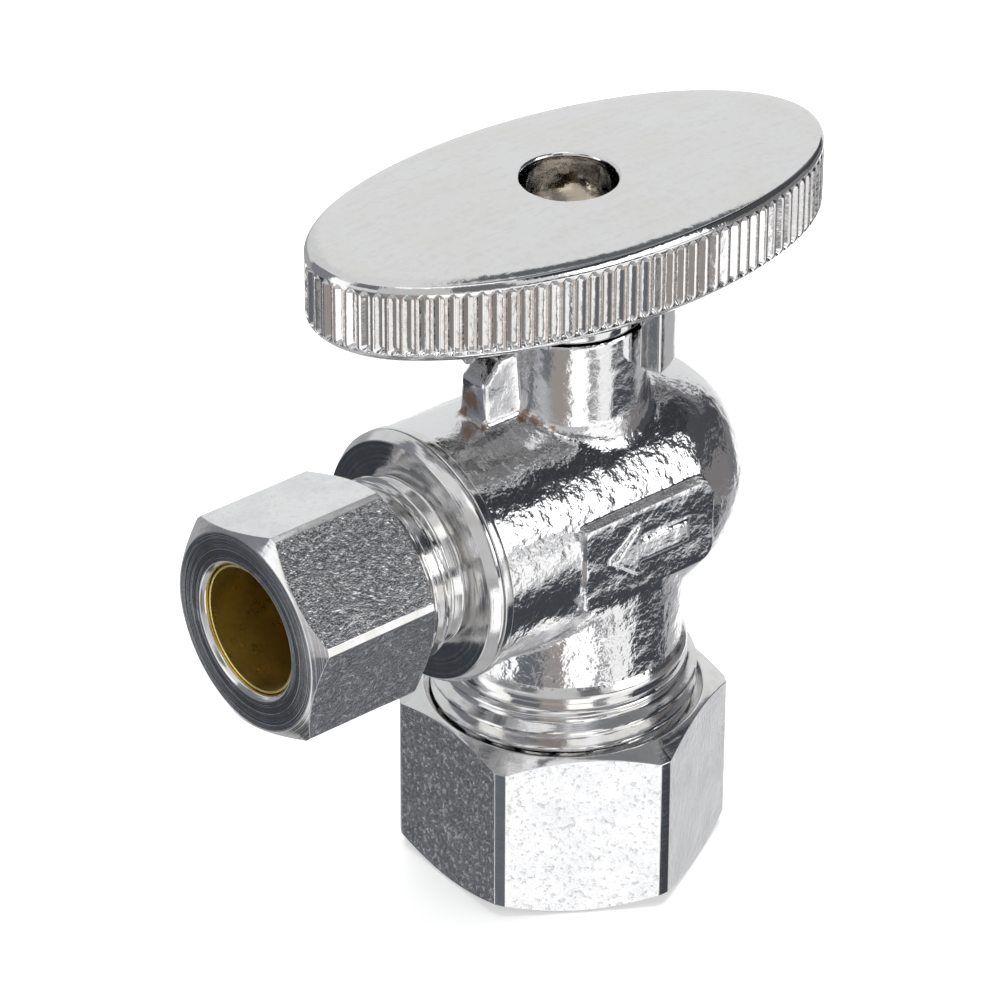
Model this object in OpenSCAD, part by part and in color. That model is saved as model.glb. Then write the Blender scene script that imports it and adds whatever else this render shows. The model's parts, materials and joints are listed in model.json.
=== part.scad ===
// Quarter-turn angle stop valve: 5/8 in OD compression inlet below, 3/8 in OD compression
// outlet to the side (-X), oval handle on top. Millimetres, +Z up. The origin is the centre
// of the inlet nut's lower face, on the axis that the inlet, the ball and the stem share.

/* [Body] */
// Height of the outlet axis above the inlet nut's lower face
outlet_h = 30.9; // [30.5:0.1:32]
// Radius of the forged barrel and of its domed end
barrel_r = 9.7; // [9.4:0.1:10.4]
// Distance from the stem axis to the centre of the domed end
dome_x = 4.8; // [4:0.1:6]
// Distance from the stem axis to the machined face that takes the outlet adapter
face_x = 14.1; // [14:0.1:15]
// Radius of the machined rim at that face
rim_r = 9.9; // [9.8:0.1:10.5]
// Radius of the neck above the inlet thread
neck_r = 9; // [8.8:0.1:9.4]
// Radius of the boss that the stem comes out of
boss_r = 6; // [5.8:0.1:6.1]
// Height of the boss's top
boss_top = 46.8; // [46.4:0.1:47]
// Height of the body's lower end, inside the inlet nut
body_end_z = 5.5; // [5.2:0.1:6]

/* [Stop lug and pad] */
// Width of the stop lug
lug_w = 3.2; // [2.6:0.1:3.4]
// Distance from the stem axis to the lug's outer face
lug_reach = 9; // [8.6:0.1:9.2]
// Height of the lug's top
lug_top = 45.5; // [45:0.1:46]
// Length of the raised pad on the barrel's side
pad_len = 12.6; // [10:0.1:13]
// Height of the raised pad
pad_h = 7; // [6:0.1:8]
// Distance from the barrel's axis to the pad's face
pad_face = 9.95; // [9.9:0.05:10.2]

/* [Inlet, 5/8 in tube] */
// Outside diameter of the tube that the inlet takes
inlet_tube_d = 15.875; // [15.8:0.005:15.9]
// Width of the inlet nut across its flats
inlet_af = 22.225; // [22.1:0.005:22.3]
// Height of the inlet nut
inlet_nut_h = 14.1; // [13.8:0.1:14.3]
// Crest radius of the inlet thread, 13/16 in - 18
inlet_crest_r = 10.17; // [10.1:0.01:10.3]
// Pitch of the inlet thread
inlet_pitch = 1.411; // [1.40:0.001:1.42]

/* [Outlet, 3/8 in tube] */
// Outside diameter of the tube that the outlet takes
outlet_tube_d = 9.525; // [9.5:0.005:9.55]
// Width of the outlet nut across its flats
outlet_af = 15.875; // [15.8:0.005:16]
// Length of the outlet nut
outlet_nut_len = 11.25; // [11:0.05:11.4]
// Distance from the stem axis to the outlet nut's front face
outlet_reach = 30.35; // [30.3:0.05:30.5]
// Crest radius of the outlet thread, 9/16 in - 24
outlet_crest_r = 7.1; // [7.05:0.01:7.15]
// Pitch of the outlet thread
outlet_pitch = 1.058; // [1.05:0.001:1.06]

/* [Ball and stem] */
// Radius of the ball
ball_r = 6.2; // [6:0.1:6.3]
// Radius of the ball's port
port_r = 3.4; // [3:0.1:3.6]
// Radius of the stem where it runs in the boss
stem_r = 3; // [2.95:0.05:3.05]
// Width across the flats of the stem's square top
stem_square = 4.1; // [4:0.05:4.2]

/* [Handle] */
// Length of the oval
handle_len = 43.5; // [40:0.1:44]
// Width of the oval
handle_wid = 22.1; // [20:0.1:23]
// Height of the handle's top at its centre
handle_top = 57.8; // [57.6:0.1:58]
// Angle of the oval's long axis when the valve is open
handle_turn = -5.5; // [-10:0.1:0]
// Number of flutes around the rim
flutes = 100; // [80:1:110]
// Depth of a flute
flute_depth = 0.45; // [0.3:0.05:0.6]
// Radius of the screw's recess
recess_r = 3.58; // [3.5:0.02:3.7]
// Turn from open to closed
travel = 90; // [85:1:90]

/* [Hidden] */
$fn = 96;
past = 1;                // how far a cut runs past a face
running = 0.06;          // radial clearance of a piece that turns in another

// Threads: the root lies this many pitches below the crest, and a nut's thread is a
// copy of the screw's, this much larger in radius.
thread_depth = 0.56;
thread_gap = 0.2;
thread_steps = 36;
// Nuts: direction of a corner, radius of the flat ring on each end, and how much is
// taken off the corners, in radius
outlet_vertex = 43.9;
outlet_flat_r = 7.7;
outlet_rounding = 0.17;
inlet_vertex = 27.4;
inlet_flat_r = 10.8;
inlet_rounding = 0.24;

// Flared foot of the boss, heights and how far it spreads
foot_bottom = outlet_h + 7.2;
foot_top = outlet_h + 8.9;
foot_flare = 0.3;

// Inlet side, heights
inlet_socket_r = inlet_tube_d / 2 + 0.11;
inlet_stop_z = 16.5;     // the tube stops here
inlet_way_r = 5.2;       // waterway above the stop
inlet_thread_top = 17.2;
neck_relief_r = 9.15;    // groove between the thread and the shoulder
shoulder_r = 9.4;
shoulder_bottom = 17.9;
shoulder_top = 18.5;
neck_start = 19.2;       // the shoulder's slope meets the neck here
inlet_root_r = inlet_crest_r - thread_depth * inlet_pitch;

// Outlet side, distances from the stem axis
outlet_socket_r = outlet_tube_d / 2 + 0.06;
adapter_end = 25;        // outer end of the adapter
outlet_stop = 17.5;      // the tube stops here
outlet_way_r = 3.4;
outlet_hole_r = outlet_socket_r + 0.25;  // hole in the nut's face
flange_t = 1.1;
flange_x = face_x + flange_t;
relief_x = flange_x + 0.9;
relief_r = 6.25;
spigot_r = 8.25;         // threaded spigot, drawn at its pitch radius
spigot_end = 7.6;
outlet_root_r = outlet_crest_r - thread_depth * outlet_pitch;

// Seal under the flange
oring_r = 0.65;
oring_groove_r = 7.55;
oring_x = 13.15;
oring_pocket_r = oring_groove_r + 2 * oring_r + 0.05;

// Ball chamber
chamber_r = 7;
chamber_end = 7.4;
core_r = 4.2;
core_end = 10;
seat_gap = 0.12;         // between the ball and a seat

// Stem, heights
slot_w = 2.4;
slot_floor = outlet_h + 4.2;
tang_w = slot_w - 0.24;
tang_len = 5.6;
collar_r = 4.2;
collar_bottom = outlet_h + ball_r + 0.9;
collar_top = 39.2;
washer_t = 0.7;
pocket_top = 40;
pocket_r = collar_r + 0.2;
boss_bore_r = stem_r + running;
stem_groove_r = 2.05;
stem_oring_r = 0.47;
stem_groove_w = 1.2;
lower_oring_z = 42.2;
upper_oring_z = 44.4;
square_bottom = 47.2;
square_top = 50.6;

// Handle, heights
hub_bottom = 47;
socket_top = 50.9;
web_top = 52.1;
rim_bottom = 50.45;
flute_bottom = 51.7;
flute_top = 56.1;
bevel_start = 56.45;     // of the rim's upper edge
plate_bottom = 54.2;
rim_wall = 2.6;
crown_drop = 0.8;        // how much lower the rim is than the crown
rim_top = handle_top - crown_drop;
upper_bevel = 0.3;       // insets of the rim's two edges
lower_bevel = 1.1;
skirt_in = 6.4;
skirt_out = 8.3;
skirt_bottom = 43.8;
screw_r = 1.5;
screw_hole_bottom = 45.6;
screw_head_r = 2.85;
screw_head_h = 1.8;

lug_half_angle = asin(lug_w / 2 / ((skirt_in + skirt_out) / 2));
skirt_end = 180 - lug_half_angle - 1.5;
skirt_start = -180 + lug_half_angle + 1.5 + travel;

// ---------------------------------------------------------------- helpers

// Puts a shape drawn along +Z on the outlet's axis, with z = distance from the stem axis.
module on_outlet() {
    translate([0, 0, outlet_h]) rotate([0, -90, 0]) children();
}

// A cylinder between two heights.
module rod(r, from, to) {
    translate([0, 0, from]) cylinder(r = r, h = to - from);
}

// A cone between two heights.
module cone(r1, r2, from, to) {
    translate([0, 0, from]) cylinder(r1 = r1, r2 = r2, h = to - from);
}

function clamp(x, low, high) = min(max(x, low), high);

// A threaded rod from z0 to z1, right-handed: a grid of points that climbs one pitch per
// turn, four points to each pitch, and runs out to the root radius at both ends.
module thread(root_r, crest_r, pitch, z0, z1, fade0, fade1) {
    first = floor(z0 / pitch) - 3;
    last = ceil(z1 / pitch) + 2;
    profile = [[0.09, 0], [0.42, 1], [0.58, 1], [0.91, 0]];
    rows = (last - first) * len(profile);
    depth = crest_r - root_r;
    points = [
        for (column = [0 : thread_steps - 1], turn = [first : last - 1], p = profile)
            let (
                z = clamp((turn + p[0] + column / thread_steps) * pitch, z0, z1),
                fade = min(1, (z - z0) / fade0, (z1 - z) / fade1),
                r = root_r + depth * p[1] * fade,
                angle = 360 * column / thread_steps
            ) [r * cos(angle), r * sin(angle), z]
    ];
    bottom = len(points);
    top = bottom + 1;
    // The last column meets the first one turn further up.
    function at(column, row) = column < thread_steps
        ? column * rows + row
        : min(row + len(profile), rows - 1);
    sides = [
        for (column = [0 : thread_steps - 1], row = [0 : rows - 2])
            each [
                [at(column, row), at(column, row + 1), at(column + 1, row)],
                [at(column + 1, row), at(column, row + 1), at(column + 1, row + 1)]
            ]
    ];
    ends = [
        for (column = [0 : thread_steps - 1])
            each [
                [bottom, at(column, 0), at((column + 1) % thread_steps, 0)],
                [top, at((column + 1) % thread_steps, rows - 1), at(column, rows - 1)]
            ]
    ];
    polyhedron(
        points = concat(points, [[0, 0, z0], [0, 0, z1]]),
        faces = concat(sides, ends)
    );
}

// A hexagonal bar from z = 0 to z = h with a vertex at the given angle, its corners rounded
// off by rounding, and 30 degree chamfers that leave a flat circle of radius flat_r.
module hex_blank(af, h, vertex_angle, flat_r, rounding) {
    vertex_r = af / 2 / cos(30);
    corner_r = vertex_r - rounding;
    rise = (corner_r - flat_r) * tan(30);
    intersection() {
        rotate([0, 0, vertex_angle]) cylinder(r = vertex_r, h = h, $fn = 6);
        rotate_extrude() polygon([
            [0, 0], [flat_r, 0], [corner_r, rise], [corner_r, h - rise], [flat_r, h], [0, h]
        ]);
    }
}

// A compression ferrule: a ring with a taper at each end, from z0 to z1, and a thin lip
// from the second taper to z1.
module ferrule(bore_r, edge_r, body_r, z0, taper0, taper1, lip, z1) {
    rotate_extrude() polygon([
        [bore_r, z0], [edge_r, z0], [body_r, taper0],
        [body_r, taper1], [edge_r, lip], [edge_r, z1], [bore_r, z1]
    ]);
}

// The oval's outline, drawn in by inset.
function oval(angle, inset) = [
    (handle_len / 2 - inset) * cos(angle),
    (handle_wid / 2 - inset) * sin(angle)
];
oval_steps = 360;
// Table of arc length along the oval against the angle that reaches it.
function arc_table(angle = 0, length = 0) = angle > 360 ? [] : concat(
    [[length, angle]],
    arc_table(angle + 360 / oval_steps,
              length + norm(oval(angle + 360 / oval_steps, 0) - oval(angle, 0)))
);
arcs = arc_table();
perimeter = arcs[oval_steps][0];
// V-shaped flutes at equal steps along the outline, with narrow crests between them.
module fluted_oval() {
    shape = [[-0.1, 0], [0.1, 0], [0.47, 1], [0.53, 1]];
    polygon([
        for (k = [0 : flutes - 1], p = shape)
            let (
                step = (k + 0.5 + p[0]) / flutes,
                angle = lookup(step * perimeter, arcs)
            ) oval(angle, flute_depth * p[1])
    ]);
}
module plain_oval(inset, steps = 96) {
    polygon([for (k = [0 : steps - 1]) oval(360 * k / steps, inset)]);
}

// An oval slab between two heights, its outline drawn in by a different amount at each.
module oval_slab(inset0, inset1, z0, z1) {
    a0 = handle_len / 2 - inset0;
    b0 = handle_wid / 2 - inset0;
    spread = inset0 - inset1;
    translate([0, 0, z0])
        linear_extrude(z1 - z0, slices = 1, scale = [(a0 + spread) / a0, (b0 + spread) / b0])
            plain_oval(inset0);
}

// A bar along X whose top is the handle's crown: arched along the oval and across it.
module crown() {
    along_r = pow(handle_len / 2, 2) / (2 * crown_drop);
    across_r = pow(handle_wid / 2, 2) / (2 * crown_drop);
    reach = handle_len / 2 + past;
    steps = 10;
    translate([0, 0, handle_top - across_r]) rotate([0, 90, 0]) rotate_extrude($fn = 200)
        polygon(concat([[0, -reach]], [
            for (k = [-steps : steps])
                let (x = reach * k / steps) [across_r - x * x / (2 * along_r), x]
        ], [[0, reach]]));
}

// A sector of a ring between two angles, as a 2-D shape.
module ring_sector(r_in, r_out, from, to) {
    steps = ceil((to - from) / 15);
    reach = r_out * 1.2;
    intersection() {
        difference() {
            circle(r = r_out);
            circle(r = r_in);
        }
        polygon(concat([[0, 0]], [
            for (k = [0 : steps])
                let (angle = from + (to - from) * k / steps)
                    [reach * cos(angle), reach * sin(angle)]
        ]));
    }
}

// ---------------------------------------------------------------- body

module body_outside() {
    // Barrel along the outlet axis, its domed end and its machined rim
    on_outlet() {
        rod(barrel_r, -dome_x, face_x - 0.5);
        translate([0, 0, -dome_x]) sphere(r = barrel_r);
        rod(rim_r, face_x - 0.75, face_x);
        cone(barrel_r, rim_r, face_x - 1.4, face_x - 0.75);
    }
    // Neck, shoulder and inlet thread
    rod(neck_r, shoulder_top, outlet_h);
    rod(neck_relief_r, inlet_thread_top - 0.1, shoulder_bottom);
    rod(shoulder_r, shoulder_bottom, shoulder_top);
    cone(shoulder_r, neck_r, shoulder_top, neck_start);
    intersection() {
        thread(inlet_root_r, inlet_crest_r, inlet_pitch,
               body_end_z, inlet_thread_top, 0.4, 1);
        cone(inlet_root_r - 0.1, inlet_root_r + 20, body_end_z, body_end_z + 20);
    }
    // Boss with its flared foot
    rod(boss_r, outlet_h, boss_top);
    cone(boss_r + foot_flare, boss_r, foot_bottom, foot_top);
    stop_lug();
    side_pad();
}

// Key beside the boss, cut off at its upper outer corner
module stop_lug() {
    corner = 1.6;
    translate([0, lug_w / 2, 0]) rotate([90, 0, 0]) linear_extrude(lug_w) polygon([
        [-boss_r + 1, outlet_h], [-boss_r + 1, lug_top], [-lug_reach + corner, lug_top],
        [-lug_reach, lug_top - corner], [-lug_reach, outlet_h]
    ]);
}

// Raised pad on the side, with an arrow that shows the flow
module side_pad() {
    pad_x = -6.5;
    corner = 1.5;
    arrow_h = 0.4;
    translate([pad_x, 0, outlet_h + 0.1 - pad_h / 2]) rotate([90, 0, 0]) {
        linear_extrude(pad_face) union() {
            square([pad_len - corner, pad_h]);
            translate([0, corner]) square([pad_len, pad_h - 2 * corner]);
            for (y = [corner, pad_h - corner])
                translate([pad_len - corner, y]) circle(r = corner);
        }
        translate([pad_len / 2, pad_h / 2]) linear_extrude(pad_face + arrow_h) polygon([
            [-4.2, 0], [-1, 2.4], [-1, 1], [3.8, 1], [3.8, -1], [-1, -1], [-1, -2.4]
        ]);
    }
}

module body_inside() {
    // Inlet: tube socket with its ferrule cone, stop and waterway
    rod(inlet_socket_r, body_end_z - past, inlet_stop_z);
    cone(inlet_socket_r + 0.9, inlet_socket_r, body_end_z, body_end_z + 1.7);
    rod(inlet_way_r, inlet_stop_z - past, outlet_h);
    // Ball chamber, spigot bore and seal pocket, all from the outlet side
    on_outlet() {
        rod(chamber_r, -chamber_end, face_x + past);
        rod(core_r, -core_end, 0);
        rod(spigot_r, spigot_end, face_x + past);
        rod(oring_pocket_r, oring_x - oring_r - 0.1, face_x + past);
    }
    // Stem: collar pocket and bore
    rod(pocket_r, outlet_h, pocket_top);
    rod(boss_bore_r, outlet_h, boss_top + past);
}

module valve_body() {
    color("silver") difference() {
        body_outside();
        body_inside();
    }
}

// ---------------------------------------------------------------- outlet side

module outlet_adapter() {
    color("lightgray") on_outlet() difference() {
        union() {
            rod(spigot_r, spigot_end, face_x);
            rotate_extrude() polygon([
                [0, face_x], [rim_r - 0.1, face_x], [rim_r, face_x + 0.15],
                [rim_r - 0.45, flange_x], [0, flange_x]
            ]);
            rod(relief_r, flange_x, relief_x);
            intersection() {
                thread(outlet_root_r, outlet_crest_r, outlet_pitch,
                       relief_x, adapter_end, 0.5, 0.4);
                translate([0, 0, adapter_end]) mirror([0, 0, 1])
                    cylinder(r1 = outlet_root_r - 0.1, r2 = outlet_root_r + 20, h = 20);
            }
        }
        rod(outlet_way_r, 0, adapter_end);
        rod(outlet_socket_r, outlet_stop, adapter_end + past);
        cone(outlet_socket_r, outlet_socket_r + 0.8, adapter_end - 1.5, adapter_end);
        // Groove for the seal
        difference() {
            rod(spigot_r + past, oring_x - oring_r - 0.1, oring_x + oring_r + 0.1);
            rod(oring_groove_r, 0, face_x);
        }
    }
}

module oring(centre_r, cord_r, z) {
    translate([0, 0, z]) rotate_extrude() translate([centre_r, 0]) circle(r = cord_r, $fn = 32);
}

module adapter_oring() {
    color("dimgray") on_outlet() oring(oring_groove_r + oring_r, oring_r, oring_x);
}

// A seat between two distances from the stem axis, hollowed to the ball
module seat(from, to, bore_r) {
    color("white") on_outlet() difference() {
        rod(chamber_r - 0.05, from, to);
        rod(bore_r, from - past, to + past);
        sphere(r = ball_r + seat_gap);
    }
}

module outlet_seat() {
    seat(4, spigot_end, port_r + 0.2);
}

module rear_seat() {
    seat(-chamber_end, -4, port_r + 0.2);
}

module outlet_nut() {
    thread_start = adapter_end + 1.6;
    front = outlet_reach;
    back = outlet_reach - outlet_nut_len;
    mouth_r = outlet_crest_r + 0.4;
    color("lightgray") on_outlet() difference() {
        translate([0, 0, back])
            hex_blank(outlet_af, outlet_nut_len, outlet_vertex, outlet_flat_r, outlet_rounding);
        // Tube hole, its countersink and the cone that presses the ferrule
        rod(outlet_hole_r, back, front + past);
        cone(outlet_hole_r, outlet_hole_r + 0.3, front - 0.3, front);
        cone(outlet_socket_r + 1.25, outlet_hole_r, front - 2.1, front - 1);
        rod(outlet_socket_r + 1.25, thread_start - 0.5, front - 2.1);
        // Thread, and the chamfer at its mouth
        thread(outlet_root_r + thread_gap, outlet_crest_r + thread_gap, outlet_pitch,
               back - 2, thread_start, 1, 0.8);
        cone(mouth_r, mouth_r - 1, back, back + 0.6);
    }
}

module outlet_ferrule() {
    color("gold") on_outlet()
        ferrule(outlet_tube_d / 2 + 0.03, outlet_tube_d / 2 + 0.2, outlet_tube_d / 2 + 0.95,
                adapter_end - 0.85, adapter_end + 0.5, adapter_end + 3.25,
                outlet_reach - 1, outlet_reach - 0.5);
}

// ---------------------------------------------------------------- inlet side

module inlet_nut() {
    thread_start = body_end_z - 1.6;
    mouth_r = inlet_crest_r + 0.55;
    color("lightgray") difference() {
        hex_blank(inlet_af, inlet_nut_h, inlet_vertex, inlet_flat_r, inlet_rounding);
        rod(inlet_socket_r, -past, inlet_nut_h);
        cone(inlet_socket_r, inlet_socket_r + 1.3, 1.7, 3);
        rod(inlet_socket_r + 1.3, 3, thread_start + 0.5);
        thread(inlet_root_r + thread_gap, inlet_crest_r + thread_gap, inlet_pitch,
               thread_start, inlet_nut_h + 2, 0.8, 1);
        cone(mouth_r - 1.3, mouth_r, inlet_nut_h - 0.9, inlet_nut_h);
    }
}

module inlet_ferrule() {
    color("gold")
        ferrule(inlet_tube_d / 2 + 0.03, inlet_tube_d / 2 + 0.3, inlet_tube_d / 2 + 1.05,
                2.05, 3.2, 5.3, 6.6, 6.75);
}

// ---------------------------------------------------------------- ball, stem and handle

module ball() {
    color("gainsboro") difference() {
        translate([0, 0, outlet_h]) sphere(r = ball_r);
        rod(port_r, outlet_h - ball_r - past, outlet_h);
        on_outlet() rod(port_r, 0, ball_r + past);
        translate([0, 0, outlet_h]) sphere(r = port_r);
        translate([-slot_w / 2, -ball_r, slot_floor]) cube([slot_w, 2 * ball_r, ball_r]);
    }
}

module stem() {
    color("khaki") difference() {
        union() {
            intersection() {
                rod(tang_len / 2, slot_floor + 0.15, collar_bottom);
                translate([-tang_w / 2, -tang_len, slot_floor])
                    cube([tang_w, 2 * tang_len, ball_r]);
            }
            rod(collar_r, collar_bottom, collar_top);
            rod(stem_r, collar_top, square_bottom);
            translate([-stem_square / 2, -stem_square / 2, square_bottom])
                cube([stem_square, stem_square, square_top - square_bottom]);
        }
        for (z = [lower_oring_z, upper_oring_z]) difference() {
            rod(stem_r + past, z - stem_groove_w / 2, z + stem_groove_w / 2);
            rod(stem_groove_r, z - past, z + past);
        }
        rod(screw_r, screw_hole_bottom, square_top + past);
    }
}

module thrust_washer() {
    color("white") difference() {
        rod(collar_r - 0.05, collar_top + 0.04, collar_top + washer_t);
        rod(stem_r + 0.1, collar_top, pocket_top);
    }
}

module stem_oring_lower() {
    color("dimgray") oring(stem_groove_r + stem_oring_r, stem_oring_r, lower_oring_z);
}

module stem_oring_upper() {
    color("dimgray") oring(stem_groove_r + stem_oring_r, stem_oring_r, upper_oring_z);
}

module handle() {
    square = stem_square + 0.12;
    bevel_slope = upper_bevel / (rim_top - bevel_start);
    color("silver") rotate([0, 0, handle_turn]) difference() {
        union() {
            intersection() {
                difference() {
                    union() {
                        translate([0, 0, flute_bottom])
                            linear_extrude(flute_top - flute_bottom) fluted_oval();
                        translate([0, 0, flute_top])
                            linear_extrude(handle_top - flute_top) plain_oval(0.02);
                        oval_slab(lower_bevel, 0.05, rim_bottom, flute_bottom);
                    }
                    // Hollow underside
                    translate([0, 0, rim_bottom - past])
                        linear_extrude(plate_bottom - rim_bottom + past)
                            plain_oval(rim_wall);
                }
                oval_slab(-bevel_slope * (bevel_start - rim_bottom),
                          bevel_slope * (handle_top - bevel_start), rim_bottom, handle_top);
                crown();
            }
            rod(boss_r, hub_bottom, plate_bottom + 0.5);
            // Skirt that meets the stop lug, and two ribs under the plate
            translate([0, 0, skirt_bottom]) rotate([0, 0, -handle_turn])
                linear_extrude(plate_bottom + 0.5 - skirt_bottom)
                    ring_sector(skirt_in, skirt_out, skirt_start, skirt_end);
            for (side = [0, 180]) rotate([0, 0, side])
                translate([boss_r - 1, -0.75, rim_bottom + 1])
                    cube([handle_len / 2 - boss_r - 1, 1.5, plate_bottom - rim_bottom - 0.5]);
        }
        // Boss clearance inside the skirt, socket for the square, and the screw's way in
        rotate([0, 0, -handle_turn]) translate([-square / 2, -square / 2, hub_bottom - past])
            cube([square, square, socket_top - hub_bottom + past]);
        rod(stem_r + 0.1, hub_bottom - past, square_bottom + 0.1);
        rod(screw_r + 0.2, hub_bottom, web_top + past);
        rod(recess_r, web_top, handle_top + past);
        cone(recess_r, recess_r + 0.5, handle_top - 0.35, handle_top + 0.15);
    }
}

module handle_screw() {
    cross_w = 0.9;
    cross_len = 3.2;
    color("darkgray") difference() {
        union() {
            rod(screw_r - 0.03, screw_hole_bottom + 0.6, web_top + 0.1);
            intersection() {
                rod(screw_head_r, web_top, web_top + screw_head_h);
                translate([0, 0, web_top + screw_head_h - 4.2]) sphere(r = 4.2);
            }
        }
        for (turn = [20, 110]) rotate([0, 0, turn])
            translate([-cross_len / 2, -cross_w / 2, web_top + 0.6])
                cube([cross_len, cross_w, screw_head_h]);
    }
}

valve_body();
outlet_adapter();
adapter_oring();
outlet_seat();
rear_seat();
ball();
stem();
thrust_washer();
stem_oring_lower();
stem_oring_upper();
handle();
handle_screw();
outlet_nut();
outlet_ferrule();
inlet_nut();
inlet_ferrule();
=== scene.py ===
import json
import math

import bpy
import numpy as np
from mathutils import Matrix, Vector


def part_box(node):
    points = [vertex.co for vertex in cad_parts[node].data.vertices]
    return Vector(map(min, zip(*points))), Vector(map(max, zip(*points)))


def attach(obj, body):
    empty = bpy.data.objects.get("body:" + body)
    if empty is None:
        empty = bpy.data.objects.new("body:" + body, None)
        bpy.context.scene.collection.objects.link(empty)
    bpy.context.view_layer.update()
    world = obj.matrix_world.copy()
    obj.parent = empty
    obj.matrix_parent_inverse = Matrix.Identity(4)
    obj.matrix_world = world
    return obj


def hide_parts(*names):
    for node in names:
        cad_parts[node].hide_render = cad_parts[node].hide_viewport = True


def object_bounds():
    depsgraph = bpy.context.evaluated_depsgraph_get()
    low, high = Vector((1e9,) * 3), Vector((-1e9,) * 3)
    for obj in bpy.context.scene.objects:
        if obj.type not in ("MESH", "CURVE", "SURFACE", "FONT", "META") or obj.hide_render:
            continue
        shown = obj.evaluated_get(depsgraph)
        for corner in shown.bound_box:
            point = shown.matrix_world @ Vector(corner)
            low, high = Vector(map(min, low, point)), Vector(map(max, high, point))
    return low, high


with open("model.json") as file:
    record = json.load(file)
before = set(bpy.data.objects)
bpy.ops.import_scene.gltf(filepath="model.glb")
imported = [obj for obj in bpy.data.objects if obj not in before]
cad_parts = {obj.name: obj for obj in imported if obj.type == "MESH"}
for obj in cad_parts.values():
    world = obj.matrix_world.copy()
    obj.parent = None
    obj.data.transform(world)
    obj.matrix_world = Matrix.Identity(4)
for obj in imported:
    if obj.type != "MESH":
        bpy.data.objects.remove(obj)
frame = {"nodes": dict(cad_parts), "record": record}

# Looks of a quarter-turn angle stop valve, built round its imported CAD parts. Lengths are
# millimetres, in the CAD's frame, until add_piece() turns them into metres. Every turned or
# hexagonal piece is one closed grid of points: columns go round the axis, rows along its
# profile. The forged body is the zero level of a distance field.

MM = 0.001
CAD_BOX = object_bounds()
mounts = {mount["name"]: mount for mount in frame["record"]["mounts"]}


def node_box(node):
    """Lowest and highest corner of a CAD node, in millimetres."""
    return [np.array(corner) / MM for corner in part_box(node)]


# ---------------------------------------------------------------- sizes

OUTLET_H = mounts["outlet_tube"]["pos_m"][2] / MM
INLET_BORE_R = mounts["inlet_tube"]["dims"]["r_mm"]
OUTLET_BORE_R = mounts["outlet_tube"]["dims"]["r_mm"]

# Forged body
BARREL_R = 9.7
DOME_X = 4.8
FACE_X = 14.1            # machined face, distance from the stem axis
RIM_R = 9.9
RIM_T = 0.75
NECK_R = 9.0
BOSS_R = 6.0
BOSS_TOP = node_box("valve_body")[1][2]
FOOT_TOP = OUTLET_H + 8.9
FOOT_BOTTOM = OUTLET_H + 7.2
FOOT_FLARE = 0.3
LUG_HALF_W = 1.6
LUG_REACH = 9.0
LUG_TOP = 45.5
LUG_CUT = 1.6            # corner cut off the lug's top
LUG_DRAFT = 0.075        # slope of the lug's sides
LUG_ROOT = -3.0          # its inner end, hidden in the boss
PAD_LEFT = -6.5
PAD_RIGHT = 6.1
PAD_H = 7.0
PAD_Z = OUTLET_H + 0.1
PAD_FACE = 9.95
PAD_CORNER = 1.5
ARROW = [(-4.2, 0), (-1, 2.4), (-1, 1), (3.8, 1), (3.8, -1), (-1, -1), (-1, -2.4)]
ARROW_HALF = 2.4         # half of its head's width
ARROW_H = 0.5
ARROW_LEAN = 0.08        # slope of its face
ARROW_SIDE = 0.9         # slope of its sides, which catch the light
PAD_ROOT = 4.0           # depth of the pad and the arrow's inner end inside the barrel
ARROW_ROOT = 8.0
EDGES = {"lug": 0.22, "pad": 0.18, "arrow": 0.1}
FILLETS = {"foot": 0.35, "arrow": 0.1, "neck": 0.7, "lug": 0.3, "boss": 0.6, "pad": 0.2}
FORGING_STEP = 0.21      # spacing of the grid that the forging is sampled on
LUMPS = ((2.6, 0.06), (1.1, 0.03))       # size and height of the forging's unevenness

# Inlet side, heights
BODY_END = node_box("valve_body")[0][2]
INLET_STOP = 16.5
INLET_WAY_R = 5.2
INLET_CREST_R = 10.17
INLET_PITCH = 1.411
INLET_THREAD_TOP = 17.2
RELIEF_R = 9.15
SHOULDER_R = 9.4
SHOULDER = (17.9, 18.5, 19.2)            # foot, top, and end of its slope
INLET_AF = 22.225
INLET_NUT_H = node_box("inlet_nut")[1][2]
INLET_VERTEX = 27.4
INLET_FLAT_R = 10.8

# Outlet side, distances from the stem axis
ADAPTER_END = -node_box("outlet_adapter")[0][0]
SPIGOT_R = 8.25
SPIGOT_END = -node_box("outlet_adapter")[1][0]
FLANGE_X = FACE_X + 1.1
FLANGE_FRONT_R = 9.35
OUTLET_RELIEF_R = 6.25
OUTLET_CREST_R = 7.1
OUTLET_PITCH = 1.058
OUTLET_STOP = 17.5
OUTLET_WAY_R = 3.4
OUTLET_FRONT = -node_box("outlet_nut")[0][0]
OUTLET_BACK = -node_box("outlet_nut")[1][0]
OUTLET_AF = 15.875
OUTLET_VERTEX = 43.9
OUTLET_FLAT_R = 7.7
OUTLET_HOLE_R = OUTLET_BORE_R + 0.25     # in the nut
SEAL_POCKET = (8.9, 12.4)                # radius and distance of the O-ring's pocket
SEAL_GROOVE_R = 7.55                     # groove in the adapter for the same O-ring
OUTLET_TUBE_GAP = 0.06   # between the tube and its socket
INLET_TUBE_GAP = 0.11

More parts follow.
